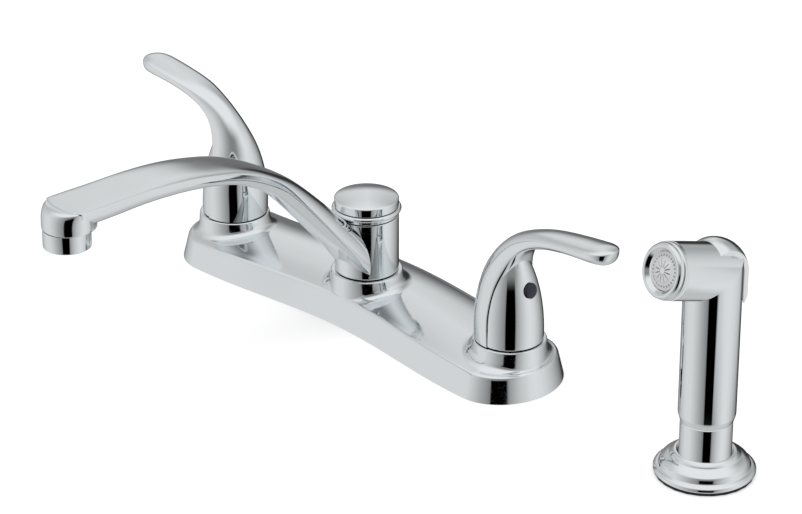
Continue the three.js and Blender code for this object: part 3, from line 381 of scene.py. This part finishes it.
def plateEdges(x, inset):
    # how much of the full width x has, and the front and back of the crescent outline there
    reach = max(abs(x) - flatEnd, 0) / (plate["endRound"] - inset)
    cap = max(math.sqrt(max(1 - reach ** 2, 0)), 2e-4)
    ease = (1 - math.cos(math.pi * towardsEnd(x))) / 2
    front, back = [(waist + (plate["endHalfWidth"] - waist) * ease - inset) * cap
                   for waist in (plate["frontWaist"], plate["backWaist"])]
    return cap, -front, back


def plateStations(inset, endSteps=22, middleSteps=56):
    # the places of the cross sections, closer together round each end
    endReach = plate["endRound"] - inset
    places = [flatEnd + endReach * math.cos(i / endSteps * math.pi / 2) for i in range(endSteps)]
    middle = [flatEnd * (1 - 2 * i / middleSteps) for i in range(middleSteps + 1)]
    return places + middle + [-x for x in reversed(places)]


def crownRise(share, cap):
    # how far the top swells, by the share of the way from front to back
    return plate["crown"] * (1 - (2 * min(max(share, 0), 1) - 1) ** 2) * cap ** 2


def plateSurface(x, y):
    # height of the crowned top
    cap, front, back = plateEdges(x, plate["sideSlope"] + plate["shoulder"])
    return plateTop(x) + crownRise((y - front) / (back - front), cap)


def plateBlock(name, levels, across=2, crowned=False):
    # a long bar of cross sections from one end of the plate to the other
    stations = [plateStations(inset) for inset, _ in levels]
    loops = []
    for i in range(len(stations[0])):
        front, back = [], []
        for row, (inset, height) in zip(stations, levels):
            cap, low, high = plateEdges(row[i], inset)
            front.append((row[i], low, height(row[i])))
            back.append((row[i], high, height(row[i])))
        top = []
        for k in range(1, across):
            point = Vector(front[-1]).lerp(Vector(back[-1]), k / across)
            if crowned:
                point.z += crownRise(k / across, cap)
            top.append(point)
        loops.append(front + top + back[::-1])
    return skin(name, loops)


def plateLevels():
    # insets and heights from the foot up the sloping wall and round the shoulder
    slope, shoulder = plate["sideSlope"], plate["shoulder"]
    lean = math.atan2(slope, plate["height"] - shoulder)
    levels = [(0, lambda x: 0), (0, lambda x: plate["upright"])]
    for k in range(7):
        angle = lean + k / 6 * (math.pi / 2 - lean)
        inset = slope + shoulder * (math.cos(lean) - math.cos(angle)) / math.cos(lean)
        drop = shoulder * (1 - math.sin(angle)) / (1 - math.sin(lean))
        levels.append((inset, lambda x, drop=drop: plateTop(x) - drop))
    return levels


def flareAt(x, across, along):
    # the flare of a collar reaches no further than the flat of the plate
    foot = plate["collarRadius"] + plate["collarSpread"]
    flare = plate["collarFlare"]
    while flare > plate["collarFlare"] / 10:
        _, front, back = plateEdges(x + (foot + flare) * across, plate["sideSlope"] + plate["shoulder"])
        if front < (foot + flare) * along < back:
            break
        flare *= 0.97
    return flare


def collar(name, x, top, sides=96):
    # a round pillar that flares into the crowned top and ends in a rounded lip
    foot = plate["collarRadius"] + plate["collarSpread"]
    turns = [(math.cos(k / sides * 2 * math.pi), math.sin(k / sides * 2 * math.pi)) for k in range(sides)]
    flares = [flareAt(x, across, along) for across, along in turns]
    for _ in range(3):
        flares = [(flares[k - 1] + flares[k] + flares[(k + 1) % sides]) / 3 for k in range(sides)]
    loops = [[(x + (foot + flare) * across, (foot + flare) * along, plate["height"] - plate["collarRoot"])
              for (across, along), flare in zip(turns, flares)]]
    for step in range(10):
        angle = step / 9 * math.pi / 2
        loop = []
        for (across, along), flare in zip(turns, flares):
            radius = foot + flare * (1 - math.sin(angle))
            place = (x + radius * across, radius * along)
            rise = plate["collarLift"] + plate["flareRise"] * flare * (1 - math.cos(angle))
            loop.append((*place, plateSurface(*place) + rise))
        loops.append(loop)
    lip = plate["collarLip"]
    for k in range(6):
        angle = k / 5 * math.pi / 2
        radius = plate["collarRadius"] - lip * (1 - math.cos(angle))
        loops.append([(x + radius * across, radius * along, top - lip * (1 - math.sin(angle)))
                      for across, along in turns])
    return skin(name, loops)


deckPlate = plateBlock("deckPlate", plateLevels(), across=24, crowned=True)
cavity = plateBlock("cavity", [
    (plate["wall"], lambda x: -1), (plate["wall"], lambda x: plate["gasket"] + 1),
    (plate["wall"] + plate["sideSlope"], lambda x: plate["height"] - plate["wall"])])
takeFrom(deckPlate, cavity)
ceiling = plate["height"] - plate["wall"]
wellFloor = ceiling + plate["wellFloor"]
for x, top in ((-plate["postX"], collarTop), (0, hubCollarTop), (plate["postX"], collarTop)):
    addTo(deckPlate, collar("collar", x, top))
    if x:
        well = [(0, 0), (plate["neckBore"], 0), (plate["neckBore"], wellFloor),
                (plate["wellRadius"], wellFloor), (plate["wellRadius"], top + 1), (0, top + 1)]
    else:
        well = [(0, 0), (plate["postBore"], 0), (plate["postBore"], top + 1), (0, top + 1)]
    under = [(0, 0), (plate["underRadius"], 0), (plate["underRadius"], ceiling), (0, ceiling)]
    takeFrom(deckPlate, turn("well", well, (x, 0, 0)), turn("under", under, (x, 0, 0)))
finishPiece(deckPlate, "faucet_base", plateChrome, "polished_chrome", "deck_plate")
print("deck plate done")

# handles

# sizes in mm; straight, fullness and bluntness make the body egg shaped
handleLook = dict(
    foot=23.8, radius=17.3, bodyHeight=52.8, straight=0.04, fullness=2.15, bluntness=0.7, ridge=0.5,
    pointRadius=3, pointFrom=0.93, pointTo=0.935, wall=3.2, hollow=17, boss=7, stemBore=4.4, mouth=8,
    stemTop=56.3, reach=67, height=68.4, crownPower=2.2, keelPower=2.6,
    buttonRadius=3.9, buttonGap=0.3, buttonDepth=2.4, buttonHeight=29.6, buttonTilt=14, screwBore=2.7)

# shares of reach and height, tilt of the outer side, then half width, crown and keel by the radius
leverRows = [
    [0.004, 0.000, 0, 0.995, 0.995, 0.17], [0.000, 0.150, 2, 0.999, 0.996, 0.17],
    [0.000, 0.278, 5, 0.955, 0.940, 0.17], [0.015, 0.449, 15, 0.800, 0.860, 0.17],
    [0.058, 0.595, 32, 0.610, 0.700, 0.18], [0.131, 0.719, 47, 0.485, 0.530, 0.11],
    [0.222, 0.812, 58, 0.460, 0.360, 0.16], [0.330, 0.880, 70, 0.475, 0.230, 0.25],
    [0.438, 0.915, 76, 0.495, 0.170, 0.265], [0.555, 0.936, 80, 0.510, 0.150, 0.26],
    [0.686, 0.953, 82, 0.520, 0.145, 0.27], [0.803, 0.967, 83, 0.518, 0.140, 0.31],
    [0.890, 0.977, 85, 0.490, 0.140, 0.335], [0.949, 0.983, 88, 0.400, 0.120, 0.336],
    [0.985, 0.983, 95, 0.250, 0.095, 0.27], [1.000, 0.980, 105, 0.095, 0.060, 0.16]]


def handleBodyRadius(share):
    rise = max((share - handleLook["straight"]) / (1 - handleLook["straight"]), 0)
    return handleLook["radius"] * (1 - rise ** handleLook["fullness"]) ** handleLook["bluntness"]


def onButton(piece):
    # from the upright axis to the button's axis, zero on the handle's side
    side = handleBodyRadius(handleLook["buttonHeight"] / handleLook["bodyHeight"])
    piece.data.transform(Matrix.Rotation(math.radians(90 - handleLook["buttonTilt"]), 4, "Y"))
    return shift(piece, (side, 0, handleLook["foot"] + handleLook["buttonHeight"]))


def toSide(piece, x):
    # the hot side is the mirror image of the cold one
    if x < 0:
        piece.data.transform(Matrix.Scale(-1, 4, (1, 0, 0)))
        piece.data.flip_normals()
    return shift(piece, (x, 0, 0))


def makeHandle(name, x):
    # an egg shaped body a ridge smaller than the lever that lies on it, with its point hidden in the lever
    look = handleLook
    foot = look["foot"]
    ridge = look["ridge"]
    profileSteps, lastStep, around = 48, 42, 56
    rows = [(0, foot), (look["radius"] - ridge, foot, 0.5)]
    for k in range(2, lastStep + 1):
        share = k / profileSteps
        rows.append((handleBodyRadius(share) - ridge, foot + share * look["bodyHeight"]))
    rows += [(look["pointRadius"], foot + look["pointFrom"] * look["bodyHeight"]),
             (0, foot + look["pointTo"] * look["bodyHeight"])]
    body = turn(name, rows)
    loops = []
    for reach, height, tilt, halfWidth, crown, keel in smoothRows(leverRows, 72):
        tilt = math.radians(tilt)
        loops.append(section(
            (reach * look["reach"], 0, foot + height * look["height"]), (0, 1, 0),
            (-math.cos(tilt), 0, math.sin(tilt)), halfWidth * look["radius"], crown * look["radius"],
            keel * look["radius"], look["crownPower"], look["keelPower"], around))
    addTo(body, skin("lever", loops))
    hollow = [(look["boss"], foot - 1), (look["radius"] - look["wall"], foot - 1),
              (look["radius"] - look["wall"], foot + look["hollow"]), (look["boss"], foot + look["hollow"]),
              (look["boss"], foot - 1)]
    bore = [(0, foot - 1), (look["mouth"], foot - 1), (look["mouth"], foot + 0.5),
            (look["stemBore"], foot + 0.5), (look["stemBore"], look["stemTop"]), (0, look["stemTop"])]
    pocketRadius = look["buttonRadius"] + look["buttonGap"]
    pocket = [(0, -13), (look["screwBore"], -13), (look["screwBore"], -look["buttonDepth"]),
              (pocketRadius, -look["buttonDepth"]), (pocketRadius, 6), (0, 6)]
    takeFrom(body, turn("hollow", hollow), turn("bore", bore), onButton(turn("pocket", pocket, sides=48)))
    return toSide(body, x)


for side, x in (("hot", -plate["postX"]), ("cold", plate["postX"])):
    handle = makeHandle(side + "Handle", x)
    finishPiece(handle, side + "_lever", castingChrome, "polished_chrome", side + "_handle", angle=26)
    rim = handleLook["buttonRadius"]
    button = onButton(turn(side + "Button", [
        (0, -2.1), (rim, -2.1), (rim, 0.1, 0.3), (rim - 0.6, 0.5), (0, 0.7)], sides=48))
    toSide(button, x)
    finishPiece(button, side + "_lever", materials[side + "_mark"], side + "_mark", side + "_index_button")
print("handles done")

# spout

spoutLook = dict(
    hubRadius=16.4, hubBottom=25.6, hubTop=55.8, hubEdge=0.7, reach=190, rise=121, halfWidth=13.6,
    tipRadius=13, tipTop=122, tipBottom=110.6, tipSetback=1.6, bore=12.3, recess=14.4, recessDepth=1.3,
    topRecessDepth=1.6, capClear=18.1, capTop=64.8, tipBore=10.1, tipBoreDepth=5, throat=8.8, roof=3.4,
    squareFrom=2.1, squareGain=1.6, endTop=121.24, endCrown=0.65, endKeel=8.4, endSquare=3.7)

# shares of reach and rise, climb, then half width, crown and keel by the half width
armRows = [
    [0.034, 0.203, 50, 0.93, 1.19, 0.20], [0.070, 0.282, 52, 0.99, 1.05, 0.18],
    [0.105, 0.355, 49, 1.00, 0.93, 0.18], [0.152, 0.446, 47, 1.00, 0.80, 0.26],
    [0.211, 0.557, 47, 1.00, 0.67, 0.30], [0.307, 0.726, 43, 1.00, 0.48, 0.37],
    [0.363, 0.811, 35, 1.00, 0.27, 0.51], [0.421, 0.867, 29, 1.01, 0.22, 0.54],
    [0.489, 0.913, 20, 1.02, 0.18, 0.52], [0.558, 0.943, 14, 1.03, 0.14, 0.53],
    [0.632, 0.968, 9, 1.02, 0.11, 0.56], [0.716, 0.985, 5, 1.00, 0.08, 0.59],
    [0.800, 0.994, 2, 0.97, 0.06, 0.62], [0.874, 0.996, 1, 0.965, 0.06, 0.65],
    [0.937, 0.999, 1, 0.965, 0.06, 0.67], [1.000, 1.002, 1, 0.955, 0.05, 0.66]]

# past the last row the flat of the arm ends in a crisp rounded line: reach and half width
armEndRows = [
    (190.5, 12.85), (191.3, 12.4), (192.1, 11.5), (192.9, 10.2), (193.6, 8.5), (194.1, 6.4), (194.4, 3.6)]

# height of the tip, how far its front stands from its middle, half its width
tipRows = [
    [110.6, 12.7, 12.7], [111.0, 13.0, 13.0], [113.5, 13.0, 13.0], [115.0, 12.95, 13.0], [117.0, 12.75, 13.0],
    [118.0, 12.5, 13.0], [119.0, 12.1, 13.0], [120.0, 11.4, 12.96], [120.8, 10.5, 12.8], [121.4, 9.2, 12.3]]


def makeSpout():
    look = spoutLook
    hub = turn("spoutArm", [
        (0, look["hubBottom"]), (look["hubRadius"], look["hubBottom"], look["hubEdge"]),
        (look["hubRadius"], look["hubTop"], look["hubEdge"]), (0, look["hubTop"])])
    loops = []
    steps, around = 90, 72
    for i, (reach, rise, climb, halfWidth, crown, keel) in enumerate(smoothRows(armRows, steps)):
        climb = math.radians(climb)
        square = look["squareFrom"] + look["squareGain"] * i / steps
        above = (0, math.sin(climb), math.cos(climb))
        loops.append(section(
            (0, -reach * look["reach"], rise * look["rise"]), (1, 0, 0), above,
            halfWidth * look["halfWidth"], crown * look["halfWidth"], keel * look["halfWidth"],
            square, square - 0.1, around))
    for reach, halfWidth in armEndRows:
        loops.append(section(
            (0, -reach, look["endTop"]), (1, 0, 0), (0, 0, 1), halfWidth, look["endCrown"], look["endKeel"],
            look["endSquare"], look["endSquare"] - 0.1, around))
    tipLoops = []
    for height, front, halfWidth in smoothRows(tipRows, 26):
        loop = []
        for k in range(around):
            angle = k / around * 2 * math.pi
            across, along = math.cos(angle), math.sin(angle)
            depth = front if along < 0 else look["tipRadius"]
            loop.append((halfWidth * across, look["tipSetback"] - look["reach"] + depth * along, height))
        tipLoops.append(loop)
    arm = skin("arm", loops)
    takeFrom(arm, turn("underHub", [(0, 0), (22, 0), (22, look["hubBottom"]), (0, look["hubBottom"])]))
    addTo(hub, arm, skin("tip", tipLoops))
    lowLedge = look["hubBottom"] + look["recessDepth"]
    highLedge = look["hubTop"] - look["topRecessDepth"]
    bore = [(0, look["hubBottom"] - 1), (look["recess"], look["hubBottom"] - 1), (look["recess"], lowLedge),
            (look["bore"], lowLedge), (look["bore"], highLedge), (look["recess"], highLedge),
            (look["recess"], look["hubTop"]), (look["capClear"], look["hubTop"]),
            (look["capClear"], look["capTop"]), (0, look["capTop"])]
    mouthTop = look["tipBottom"] + look["tipBoreDepth"]
    throatTop = look["tipTop"] - look["roof"]
    outlet = [(0, look["tipBottom"] - 1), (look["tipBore"], look["tipBottom"] - 1),
              (look["tipBore"], mouthTop), (look["throat"], mouthTop), (look["throat"], throatTop),
              (0, throatTop)]
    return takeFrom(hub, turn("bore", bore), turn("outlet", outlet, (0, -look["reach"], 0)))


finishPiece(makeSpout(), "swing_spout", armChrome, "polished_chrome", "spout", angle=26)

# a nut with one round bead, under a cap with a low dome
spoutNut = turn("spoutNut", [
    (10.9, 56.3), (16.4, 56.3, 0.4), (16.4, 57.8, 0.15), (17.0, 57.9, 0.3), (17.7, 58.6, 0.7),
    (17.7, 59.5, 0.7), (17.0, 60.2, 0.3), (16.4, 60.3, 0.15), (10.9, 60.3), (10.9, 56.3)])
finishPiece(spoutNut, "faucet_base", turnedChrome, "polished_chrome", "spout_nut")
domeRows = [(radius, 64.9 + 2.05 * (1 - (radius / 16.2) ** 2)) for radius in range(15, 0, -1)]
spoutCap = turn("spoutCap", [
    (0, 55.6), (6.6, 55.6), (6.6, 60.6), (16.4, 60.6, 0.25), (16.4, 64.8, 0.7), *domeRows, (0, 66.95)],
    steps=6)
finishPiece(spoutCap, "faucet_base", turnedChrome, "polished_chrome", "spout_cap")

aerator = turn("aeratorHousing", [
    (8.0, 101.3), (11.4, 101.3, 0.6), (11.4, 110.3, 0.2), (9.8, 110.3), (9.8, 114.6), (8.0, 114.6),
    (8.0, 101.3)], (0, -spoutLook["reach"], 0))
finishPiece(aerator, "swing_spout", turnedChrome, "polished_chrome", "aerator_housing")
print("spout done")

# side sprayer

sprayLook = dict(
    x=229, yaw=-9, gripRadius=13.6, elbow=104.1, tilt=16, barrel=27, nippleBore=8, nippleTop=52.2,
    chamberRadius=8.6, chamberBack=8.3)
# the lever, and the pocket that it sinks into when pressed
thumbLook = dict(
    front=7, bottom=88.5, swell=2.5, frontSwell=0.35, gap=0.45, frontGap=0.3, halfWidth=9.2, draft=0.2,
    taper=1.5, taperFrom=0.75, edge=0.35, pocketGap=0.4, travel=(0, -2.9, -1.45), pocketHalfWidth=9.5,
    pocketFront=-4, pocketBottom=86.6, knuckleHalfWidth=5.8)
tilt = math.radians(sprayLook["tilt"])
barrelAlong = Vector((0, -math.cos(tilt), math.sin(tilt)))
barrelAbove = Vector((0, math.sin(tilt), math.cos(tilt)))
elbowPlace = Vector((0, 0, sprayLook["elbow"]))


def onBarrel(piece):
    piece.data.transform(Matrix.Rotation(math.radians(90 - sprayLook["tilt"]), 4, "X"))
    return shift(piece, elbowPlace)


def inHolder(piece):
    piece.data.transform(Matrix.Rotation(math.radians(sprayLook["yaw"]), 4, "Z"))
    return shift(piece, (sprayLook["x"], 0, 0))


def elbowLoops(bottomRows, front, radius, count=96):
    # round sections up the grip and along the barrel, which meet on one mitre
    halfAngle = math.radians(90 + sprayLook["tilt"]) / 2
    outwards = Vector((0, math.sin(halfAngle), math.cos(halfAngle)))
    loops = [section((0, 0, z), (1, 0, 0), (0, 1, 0), r, r, r, 2, 2, count) for r, z in bottomRows]
    loops.append(section(elbowPlace, (1, 0, 0), outwards, radius, radius / math.sin(halfAngle),
                         radius / math.sin(halfAngle), 2, 2, count))
    loops.append(section(elbowPlace + barrelAlong * front, (1, 0, 0), barrelAbove, radius, radius, radius,
                         2, 2, count))
    return loops


def block(name, low, high):
    # a cube between two corners
    bpy.ops.object.select_all(action="DESELECT")
    bpy.ops.mesh.primitive_cube_add(size=1)
    piece = bpy.context.object
    piece.name = name
    size = [b - a for a, b in zip(low, high)]
    middle = [(a + b) / 2 for a, b in zip(low, high)]
    piece.data.transform(Matrix.Diagonal([*[value * mm for value in size], 1]))
    return shift(piece, middle)


holder = turn("sprayHolder", [
    (10.8, -38), (15.4, -38), (15.4, 1.5), (23.5, 1.5, 0.2), (24.1, 2.1, 0.3), (24.1, 3.4, 0.5),
    (22.9, 4.4, 0.6), (21.6, 4.7, 0.3), (21.3, 5.4, 0.4), (20.9, 7.2, 1.2), (18.7, 9.0, 1.4),
    (16.5, 9.9, 0.6), (15.8, 10.9, 0.5), (14.7, 12.0, 0.4), (13.6, 12.2, 0.2), (12.8, 11.4), (12.8, -2),
    (10.8, -2), (10.8, -38)], steps=5)
finishPiece(inHolder(holder), "faucet_base", plasticChrome, "polished_chrome", "spray_holder")

coupling = turn("sprayCoupling", [
    (4, -1.7), (10.4, -1.7), (12.4, 4.3, 0.5), (12.4, 28, 0.5), (7.6, 28), (7.6, 50), (4, 50), (4, -1.7)])
finishPiece(inHolder(coupling), "hose_end", plasticChrome, "polished_chrome", "spray_coupling")

grip = sprayLook["gripRadius"]
sprayBody = skin("sprayBody", elbowLoops(
    [(12.3, 28.3), (12.6, 28.5), (12.8, 29.2), (13.45, 31.3), (grip, 32.2)], sprayLook["barrel"], grip))
# the pocket keeps what the elbow's own shape would leave if it sank as far as the lever does
pocketRadius = grip + thumbLook["pocketGap"]
pressed = skin("pressed", elbowLoops([(pocketRadius, 18)], 60, pocketRadius))
shift(pressed, thumbLook["travel"])
zone = block("zone", (-thumbLook["pocketHalfWidth"], -60, -60), (thumbLook["pocketHalfWidth"], 60, 0))
onBarrel(zone)
upper = block("upper", (-30, thumbLook["pocketFront"], thumbLook["pocketBottom"]), (30, 60, 170))
combine(zone, upper, "INTERSECT")
takeFrom(zone, pressed)
takeFrom(sprayBody, zone)
knuckleRoom = thumbLook["knuckleHalfWidth"]
nipple, nippleTop = sprayLook["nippleBore"], sprayLook["nippleTop"]
chamber, chamberBack = sprayLook["chamberRadius"], sprayLook["chamberBack"]
takeFrom(sprayBody,
         onBarrel(block("knuckleRoom", (-knuckleRoom, 5.6, -3.5), (knuckleRoom, 30, 3.5))),
         turn("nippleBore", [(0, 27), (nipple, 27), (nipple, nippleTop), (0, nippleTop)]),
         onBarrel(turn("chamber", [(0, chamberBack), (chamber, chamberBack), (chamber, 28), (0, 28)])))
finishPiece(inHolder(sprayBody), "spray_head", plasticChrome, "polished_chrome", "spray_body")

# the thumb lever: a bent strip round the top and back of the elbow, in rows of centre, bend, outer
# swell and inner gap
swell, gap, halfWidth = thumbLook["swell"], thumbLook["gap"], thumbLook["halfWidth"]
frontSwell, frontGap = thumbLook["frontSwell"], thumbLook["frontGap"]
thumbStations = []
for k in range(9):
    share = k / 8
    thumbStations.append((elbowPlace + barrelAlong * thumbLook["front"] * (1 - share), 0,
                          frontSwell + (swell - frontSwell) * (1 - (1 - share) ** 2),
                          frontGap + (gap - frontGap) * share))
for k in range(1, 15):
    thumbStations.append((elbowPlace, k / 14, swell, gap))
thumbEnd = Vector((0, 0, thumbLook["bottom"]))
for k in range(1, 9):
    share = k / 8
    thinned = max((share - thumbLook["taperFrom"]) / (1 - thumbLook["taperFrom"]), 0) ** 1.5
    thumbStations.append((elbowPlace.lerp(thumbEnd, share), 1, swell - thumbLook["taper"] * thinned, gap))
loops = []
for centre, bend, outer, inner in thumbStations:
    angle = bend * math.radians(90 - sprayLook["tilt"])
    out = Vector((0, math.sin(tilt + angle), math.cos(tilt + angle)))
    loop = []
    for radius, reach, turnWay in ((grip + outer, halfWidth, 1),
                                   (grip + inner - 0.05, halfWidth - thumbLook["draft"], -1)):
        widest = math.asin(reach / radius)
        for i in range(17):
            across = turnWay * (i / 16 * 2 - 1) * widest
            loop.append(centre + (out * math.cos(across) + Vector((1, 0, 0)) * math.sin(across)) * radius)
    loops.append(loop)
thumbLever = skin("thumbLever", loops)
softEdges(thumbLever, thumbLook["edge"])
finishPiece(inHolder(thumbLever), "thumb_lever", leverChrome, "polished_chrome", "spray_thumb_lever")

nozzleRing = onBarrel(turn("nozzleRing", [
    (7.0, 27.3), (12.7, 27.3), (12.7, 28.1, 0.2), (13.5, 28.3, 0.3), (13.5, 29.6, 0.5), (12.9, 30.0, 0.2),
    (12.9, 31.6, 0.6), (11.9, 32.7, 0.6), (10.6, 32.7, 0.6), (9.2, 30.6, 0.3), (9.2, 28.9), (7.0, 28.9),
    (7.0, 27.3)], steps=6))
finishPiece(inHolder(nozzleRing), "spray_head", plasticChrome, "polished_chrome", "spray_nozzle_ring")

# a face with a ring of holes for the spray and slots round its middle for the stream
faceLook = dict(
    holes=26, holeRadius=0.58, holeCircle=7.2, slots=12, slotFrom=1.5, slotTo=4.9, slotHalfWidth=0.26,
    slotFloor=29.6)
face = turn("sprayFace", [
    (0, 29.2), (9.0, 29.2), (9.0, 30.2, 0.3), (5.6, 30.6, 0.4), (5.2, 31.0, 0.3), (1.6, 31.5, 0.3),
    (0, 31.6)])
holeRows = [(0, 29), (faceLook["holeRadius"], 29), (faceLook["holeRadius"], 33), (0, 33)]
for i in range(faceLook["holes"]):
    angle = i / faceLook["holes"] * 2 * math.pi
    place = (math.cos(angle) * faceLook["holeCircle"], math.sin(angle) * faceLook["holeCircle"], 0)
    takeFrom(face, turn("hole", holeRows, place, sides=12))
for i in range(faceLook["slots"]):
    slit = block("slit", (faceLook["slotFrom"], -faceLook["slotHalfWidth"], faceLook["slotFloor"]),
                 (faceLook["slotTo"], faceLook["slotHalfWidth"], 33))
    slit.data.transform(Matrix.Rotation(i / faceLook["slots"] * 2 * math.pi, 4, "Z"))
    takeFrom(face, slit)
finishPiece(inHolder(onBarrel(face)), "spray_head", faceAcetal, "white_acetal", "spray_face")
for piece in bpy.data.objects:
    # the sprayer stands on its own, so it isn't mirrored in the faucet beside it
    if piece.name.startswith(("spray", "thumbLever", "nozzleRing")):
        piece.visible_glossy = False
print("sprayer done")

# studio

# tones by share of a turn, the camera's side at 0.5; the dark slot lies between two soft boxes
lowTones = [
    (0.00, 0.20), (0.05, 0.30), (0.13, 0.62), (0.21, 0.80), (0.28, 0.80), (0.34, 0.64), (0.39, 0.46),
    (0.430, 0.33), (0.450, 0.25), (0.454, 0.0), (0.545, 0.0), (0.549, 0.26), (0.562, 0.40), (0.611, 0.65),
    (0.667, 0.83), (0.70, 0.86), (0.75, 0.78), (0.806, 0.58), (0.861, 0.35), (0.90, 0.18), (0.92, 0.05),
    (0.975, 0.03), (0.985, 0.15), (1.00, 0.20)]
highTones = [
    (0.00, 0.82), (0.022, 0.76), (0.05, 0.58), (0.12, 0.62), (0.25, 0.80), (0.33, 0.65), (0.40, 0.43),
    (0.45, 0.30), (0.50, 0.26), (0.555, 0.30), (0.60, 0.50), (0.65, 0.74), (0.70, 0.90), (0.76, 0.80),
    (0.83, 0.63), (0.875, 0.50), (0.90, 0.44), (0.925, 0.44), (0.95, 0.52), (0.975, 0.66), (1.00, 0.82)]
# tones are linear greys; they change with the height of the way looked at, -1 down and 1 up
studio = dict(
    cameraAzimuth=46.06, wallChange=(0.1, 0.36), ceiling=0.95, ceilingFrom=(0.6, 0.9),
    ground=0.62, groundFrom=(-0.6, -0.9), fill=0.7, paper="e1e1e1", paperLift=0.42,
    lampPlace=(0.3, -0.3, 1.6), lampSize=(1.2, 1.2), lampPower=9)


def grey(tone):
    return (tone, tone, tone, 1)


def makeWorld():
    # a room of soft boxes that only mirrors see: the camera sees white, and matt pieces an even grey
    world = bpy.data.worlds.new("studio")
    bpy.context.scene.world = world
    world.use_nodes = True
    tree = world.node_tree
    tree.nodes.clear()
    toCamera = math.radians(studio["cameraAzimuth"])
    ahead = (math.sin(toCamera), -math.cos(toCamera), 0)
    aside = (math.cos(toCamera), math.sin(toCamera), 0)
    way = addNode(tree, "ShaderNodeTexCoord").outputs["Generated"]
    x, y = [addNode(tree, "ShaderNodeVectorMath", {"operation": "DOT_PRODUCT", 1: axis},
                    {0: way}).outputs["Value"] for axis in (ahead, aside)]
    height = addNode(tree, "ShaderNodeSeparateXYZ", links={0: way}).outputs["Z"]
    azimuth = addNode(tree, "ShaderNodeMath", {"operation": "ARCTAN2"}, {0: y, 1: x}).outputs[0]
    share = addNode(tree, "ShaderNodeMapRange", {"From Min": -math.pi, "From Max": math.pi},
                    {"Value": azimuth}).outputs["Result"]
    ramps = []
    for tones in (lowTones, highTones):
        ramp = addNode(tree, "ShaderNodeValToRGB", links={"Fac": share})
        stops = ramp.color_ramp.elements
        while len(stops) < len(tones):
            stops.new(0.5)
        for stop, (position, tone) in zip(stops, tones):
            stop.position = position
            stop.color = grey(tone)
        ramps.append(ramp.outputs["Color"])
    start, end = studio["wallChange"]
    climb = addNode(tree, "ShaderNodeMapRange",
                    {"interpolation_type": "SMOOTHSTEP", "From Min": start, "From Max": end},
                    {"Value": height})
    room = addNode(tree, "ShaderNodeMix", {"data_type": "RGBA"},
                   {0: climb.outputs["Result"], 6: ramps[0], 7: ramps[1]})
    for tone, (start, end) in ((studio["ceiling"], studio["ceilingFrom"]),
                               (studio["ground"], studio["groundFrom"])):
        fade = addNode(tree, "ShaderNodeMapRange",
                       {"interpolation_type": "SMOOTHSTEP", "From Min": start, "From Max": end},
                       {"Value": height})
        room = addNode(tree, "ShaderNodeMix", {"data_type": "RGBA", 7: grey(tone)},
                       {0: fade.outputs["Result"], 6: room.outputs[2]})
    path = addNode(tree, "ShaderNodeLightPath")
    mirrored = addNode(tree, "ShaderNodeMix", {"data_type": "RGBA", 6: grey(studio["fill"])},
                       {0: path.outputs["Is Glossy Ray"], 7: room.outputs[2]})
    seen = addNode(tree, "ShaderNodeMix", {"data_type": "RGBA", 7: srgb("ffffff")},
                   {0: path.outputs["Is Camera Ray"], 6: mirrored.outputs[2]})
    background = addNode(tree, "ShaderNodeBackground", {"Strength": 1.0}, {"Color": seen.outputs[2]})
    addNode(tree, "ShaderNodeOutputWorld", links={"Surface": background.outputs["Background"]})


def makeFloor():
    # white paper that keeps the faucet's shadow
    bpy.ops.object.select_all(action="DESELECT")
    bpy.ops.mesh.primitive_plane_add(size=12, location=(0, 0, -0.0002))
    floor = bpy.context.object
    floor.name = "floor"
    floor.visible_glossy = False
    material = bpy.data.materials.new("matt_studio_paper")
    material.use_nodes = True
    tree = material.node_tree
    tree.nodes.clear()
    path = addNode(tree, "ShaderNodeLightPath")
    paper = addNode(tree, "ShaderNodeBsdfDiffuse", {"Color": srgb(studio["paper"])})
    lift = addNode(tree, "ShaderNodeMath", {"operation": "MULTIPLY", 1: studio["paperLift"]},
                   {0: path.outputs["Is Camera Ray"]})
    glow = addNode(tree, "ShaderNodeEmission", {"Color": srgb("ffffff")}, {"Strength": lift.outputs[0]})
    both = addNode(tree, "ShaderNodeAddShader", links={0: paper.outputs[0], 1: glow.outputs[0]})
    addNode(tree, "ShaderNodeOutputMaterial", links={"Surface": both.outputs[0]})
    floor.data.materials.append(material)


def addLamp(name, place, aim, size, power):
    bpy.ops.object.light_add(type="AREA", location=place)
    lamp = bpy.context.object
    lamp.name = name
    lamp.data.shape = "RECTANGLE"
    lamp.data.size, lamp.data.size_y = size
    lamp.data.energy = power
    lamp.rotation_euler = (Vector(aim) - Vector(place)).to_track_quat("-Z", "Y").to_euler()
    lamp.visible_glossy = False


makeWorld()
makeFloor()
addLamp("topLight", studio["lampPlace"], (0, 0, 0), studio["lampSize"], studio["lampPower"])

# in metres, with the lens and sensor in mm
cameraLook = dict(place=(1.0920, -1.0282, 0.7611), way=(-0.6474, 0.6239, -0.4377), lens=147.46, sensor=36)
bpy.ops.object.camera_add(location=cameraLook["place"])
camera = bpy.context.object
camera.rotation_euler = Vector(cameraLook["way"]).to_track_quat("-Z", "Y").to_euler()
camera.data.lens = cameraLook["lens"]
camera.data.sensor_width = cameraLook["sensor"]
camera.data.clip_start = 0.05
camera.data.clip_end = 50
bpy.context.scene.camera = camera
bpy.context.scene.view_settings.view_transform = "Standard"
print("studio done")
